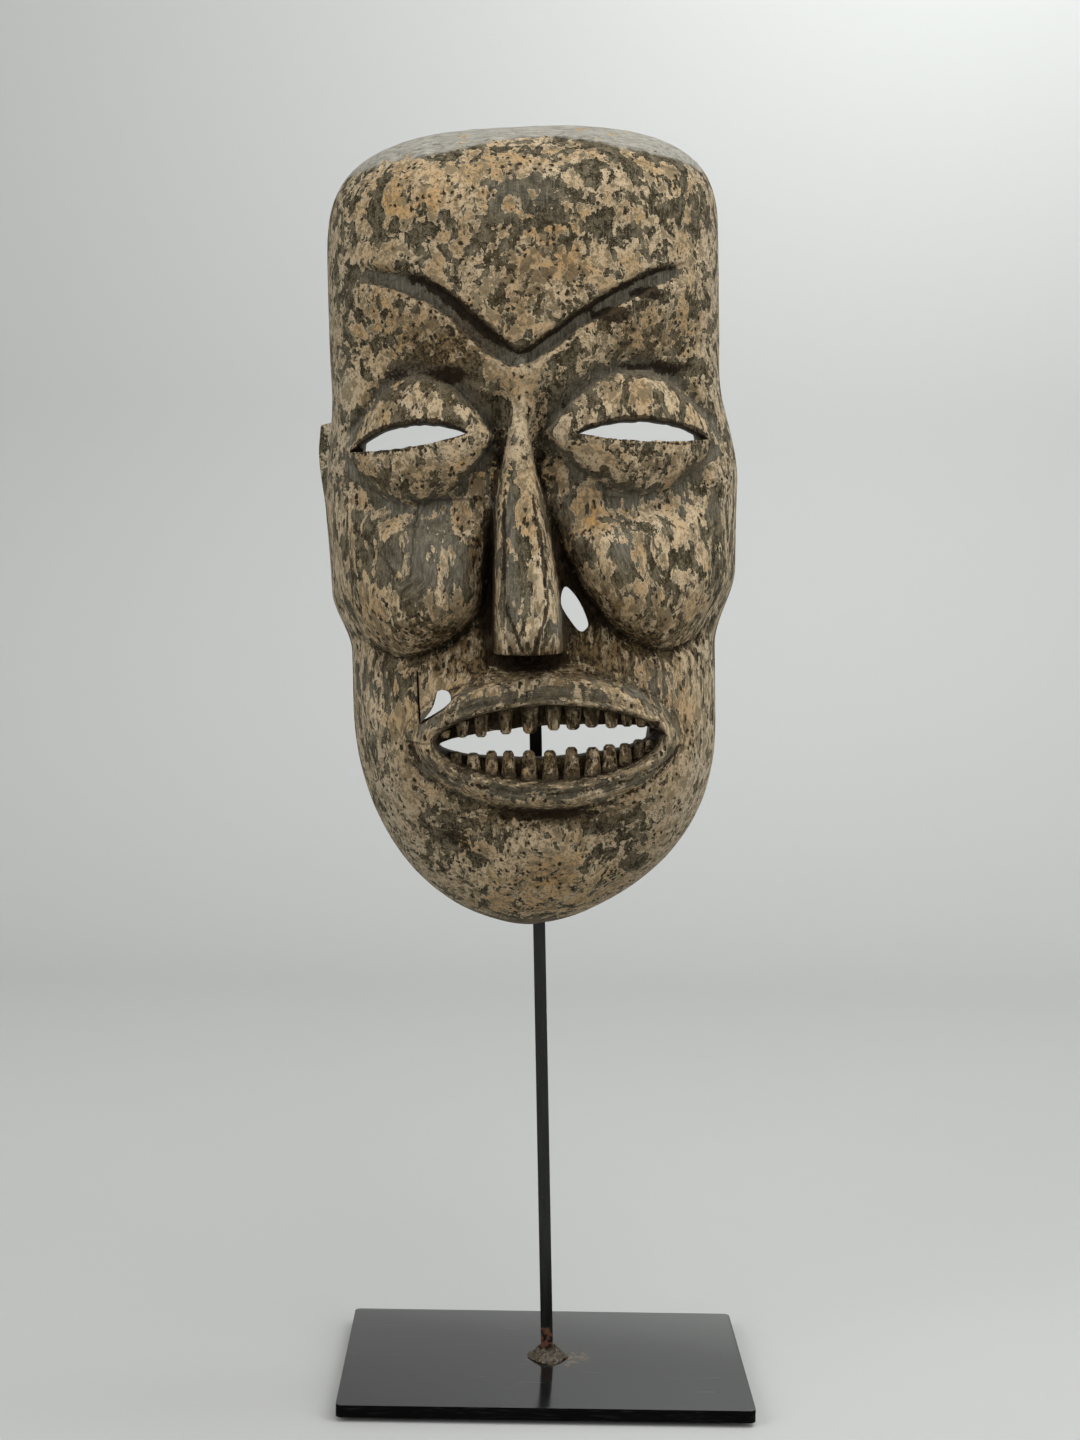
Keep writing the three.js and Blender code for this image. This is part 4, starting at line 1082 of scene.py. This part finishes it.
def plate_material():
    """Gloss black paint with dust and fine scratches on top, and a brown stain beside the weld."""
    n = Nodes("black_plate")
    place = n.add("ShaderNodeTexCoord", "Object")
    normal = n.add("ShaderNodeNewGeometry", "Normal")
    upward = n.ramp(n.add("ShaderNodeSeparateXYZ", "Z", None, Vector=normal), 0.6, 0.95)
    centre = plate_centre()
    offset = n.add("ShaderNodeVectorMath", 0, {"operation": "SUBTRACT"}, i0=place,
                   i1=(centre.x + 0.008, centre.y - 0.001, PLATE_TOP * MM))
    reach = n.add("ShaderNodeVectorMath", "Value", {"operation": "LENGTH"}, i0=offset)
    dust = n.noise(place, 300, 6, 0.7)
    cloud = n.noise(place, 22, 4, 0.55, 0.6)
    scratch_place = n.add("ShaderNodeMapping", 0, None, Vector=place, Rotation=(0.0, 0.0, 0.5),
                          Scale=(16.0, 700.0, 40.0))
    scratch = n.times(n.ramp(n.noise(scratch_place, 1.0, 3), 0.68, 0.75), upward)
    blots = n.ramp(n.noise(place, 160, 5, 0.7), 0.5, 0.62)
    ringed = n.ramp(n.plus(reach, n.times(dust, 0.016)), 0.028, 0.016)
    stain = n.times(n.times(ringed, blots), upward)
    film = n.times(n.ramp(dust, 0.56, 0.78), upward)
    colour = n.mix(film, (0.004, 0.004, 0.004), (0.05, 0.048, 0.042))
    colour = n.mix(n.times(scratch, 0.3), colour, (0.10, 0.095, 0.09))
    colour = n.mix(stain, colour, n.mix(dust, (0.03, 0.016, 0.006), (0.13, 0.085, 0.04)))
    rough = n.plus(n.ramp(cloud, 0.3, 0.7, 0.07, 0.13), n.times(n.math("MAXIMUM", stain, scratch), 0.3))
    return n.finish(Base_Color=colour, Roughness=rough, Normal=n.bump(dust, 0.00003, 0.3),
                    Specular_IOR_Level=0.85)


def plate_edge_material():
    """The plate's cut edges, painted thinly over a rough sawn surface; their near-black, barely glossy
    finish is painted shade on the sides.
    """
    n = Nodes("plate_edge")
    place = n.add("ShaderNodeTexCoord", "Object")
    sawn = n.stretch(place, (90.0, 90.0, 900.0))
    lines = n.noise(sawn, 1.0, 4, 0.6)
    colour = n.mix(n.ramp(lines, 0.5, 0.75), (0.0015, 0.0015, 0.0015), (0.009, 0.009, 0.010))
    return n.finish(Base_Color=colour, Roughness=0.5, Normal=n.bump(lines, 0.0001, 0.6),
                    Specular_IOR_Level=0.03)


def felt_material():
    n = Nodes("pale_felt")
    place = n.add("ShaderNodeTexCoord", "Object")
    stretched = n.stretch(place, (1.0, 1.0, 2.5))
    fibres = n.noise(stretched, 2600, 5, 0.75, 1.5)
    soft = n.noise(place, 500, 3)
    colour = n.mix(n.ramp(fibres, 0.35, 0.65), (0.42, 0.40, 0.37), (0.74, 0.72, 0.68))
    colour = n.mix(n.times(soft, 0.4), colour, (0.50, 0.47, 0.42))
    return n.finish(Base_Color=colour, Roughness=0.95, Normal=n.bump(fibres, 0.0004, 0.8), Sheen_Weight=0.3)


place_piece(node_copy("support_rod", "square_bar", 0.0006), "support_rod", rod_material())
plate = node_copy("base_plate", "steel_plate", 0.0007)
place_piece(plate, "base_plate", plate_material())
plate.data.materials.append(plate_edge_material())
# The side faces take the darker edge finish, painted shade
for face in plate.data.polygons:
    face.material_index = int(face.normal.z < 0.5)
place_piece(build_weld(), "weld_bead", weld_material())
felt = felt_material()
for number in (1, 2, 3, 4):
    disc = node_copy(f"felt_pad_{number}", f"felt_disc_{number}", 0.0004)
    place_piece(disc, f"felt_pad_{number}", felt)


def plain_material(name, colour, rough):
    return Nodes(name).finish(Base_Color=colour, Roughness=rough)


# Camera and lights

def add_camera():
    data = bpy.data.cameras.new("camera")
    data.lens = 52.5
    data.sensor_width = 36
    data.clip_start = 0.01
    camera = bpy.data.objects.new("camera", data)
    bpy.context.collection.objects.link(camera)
    camera.location = plate_centre() + Vector((-23.2, -1034.4, 407.7)) * MM
    yaw, pitch, roll = math.radians(-0.81), math.radians(4.24), math.radians(1.15)
    forward = Vector((-math.sin(yaw), math.cos(yaw), 0)) * math.cos(pitch) - Vector((0, 0, math.sin(pitch)))
    right0 = Vector((math.cos(yaw), math.sin(yaw), 0))
    up0 = right0.cross(forward)
    right = right0 * math.cos(roll) + up0 * math.sin(roll)
    up = up0 * math.cos(roll) - right0 * math.sin(roll)
    turned = Matrix((right, up, -forward)).transposed().to_4x4()
    camera.matrix_world = Matrix.Translation(camera.location) @ turned
    bpy.context.scene.camera = camera


def area_light(name, place, target, size, power, colour=(1, 1, 1), spread=180):
    data = bpy.data.lights.new(name, "AREA")
    data.shape = "RECTANGLE"
    data.size, data.size_y = size
    data.energy = power
    data.color = colour
    data.spread = math.radians(spread)
    lamp = bpy.data.objects.new(name, data)
    lamp.location = place
    lamp.rotation_euler = (Vector(target) - Vector(place)).to_track_quat("-Z", "Y").to_euler()
    bpy.context.collection.objects.link(lamp)


def add_stage():
    data = bpy.data.meshes.new("backdrop")
    depth, height, radius = 1.6, 3.0, 0.6
    profile = [(-3.0, 0)] + [(depth - radius + radius * math.sin(a), radius - radius * math.cos(a))
                             for a in np.linspace(0, math.pi / 2, 16)] + [(depth, height)]
    points, faces = [], []
    for y, z in profile:
        points += [(-4, y, z), (4, y, z)]
    for i in range(len(profile) - 1):
        faces.append((2 * i, 2 * i + 1, 2 * i + 3, 2 * i + 2))
    data.from_pydata(points, [], faces)
    data.shade_smooth()
    wall = bpy.data.objects.new("backdrop", data)
    bpy.context.collection.objects.link(wall)
    data.materials.append(plain_material("backdrop", (0.385, 0.387, 0.375), 0.9))


add_camera()
add_stage()
centre = (0, 0, 0.4)
area_light("top", (0.5, -0.5, 2.1), centre, (1.8, 1.8), 34)
area_light("left", (-1.5, -1.2, 1.3), centre, (1.0, 1.4), 23)
area_light("right", (1.6, -1.0, 1.0), centre, (0.8, 1.4), 16.5)
area_light("backdrop", (1.2, 0.1, 2.3), (0.6, 1.6, 1.3), (1.6, 1.0), 19, (0.94, 0.98, 1.0))
area_light("backdrop_top", (0.9, 0.5, 2.0), (0.4, 1.6, 1.25), (0.6, 0.6), 4.4, (0.94, 0.98, 1.0), 70)
world = bpy.data.worlds.new("world")
world.use_nodes = True
sky = world.node_tree.nodes["Background"]
sky.inputs["Color"].default_value = (0.82, 0.84, 0.86, 1)
sky.inputs["Strength"].default_value = 0.58
bpy.context.scene.world = world
bpy.context.scene.view_settings.view_transform = "Standard"
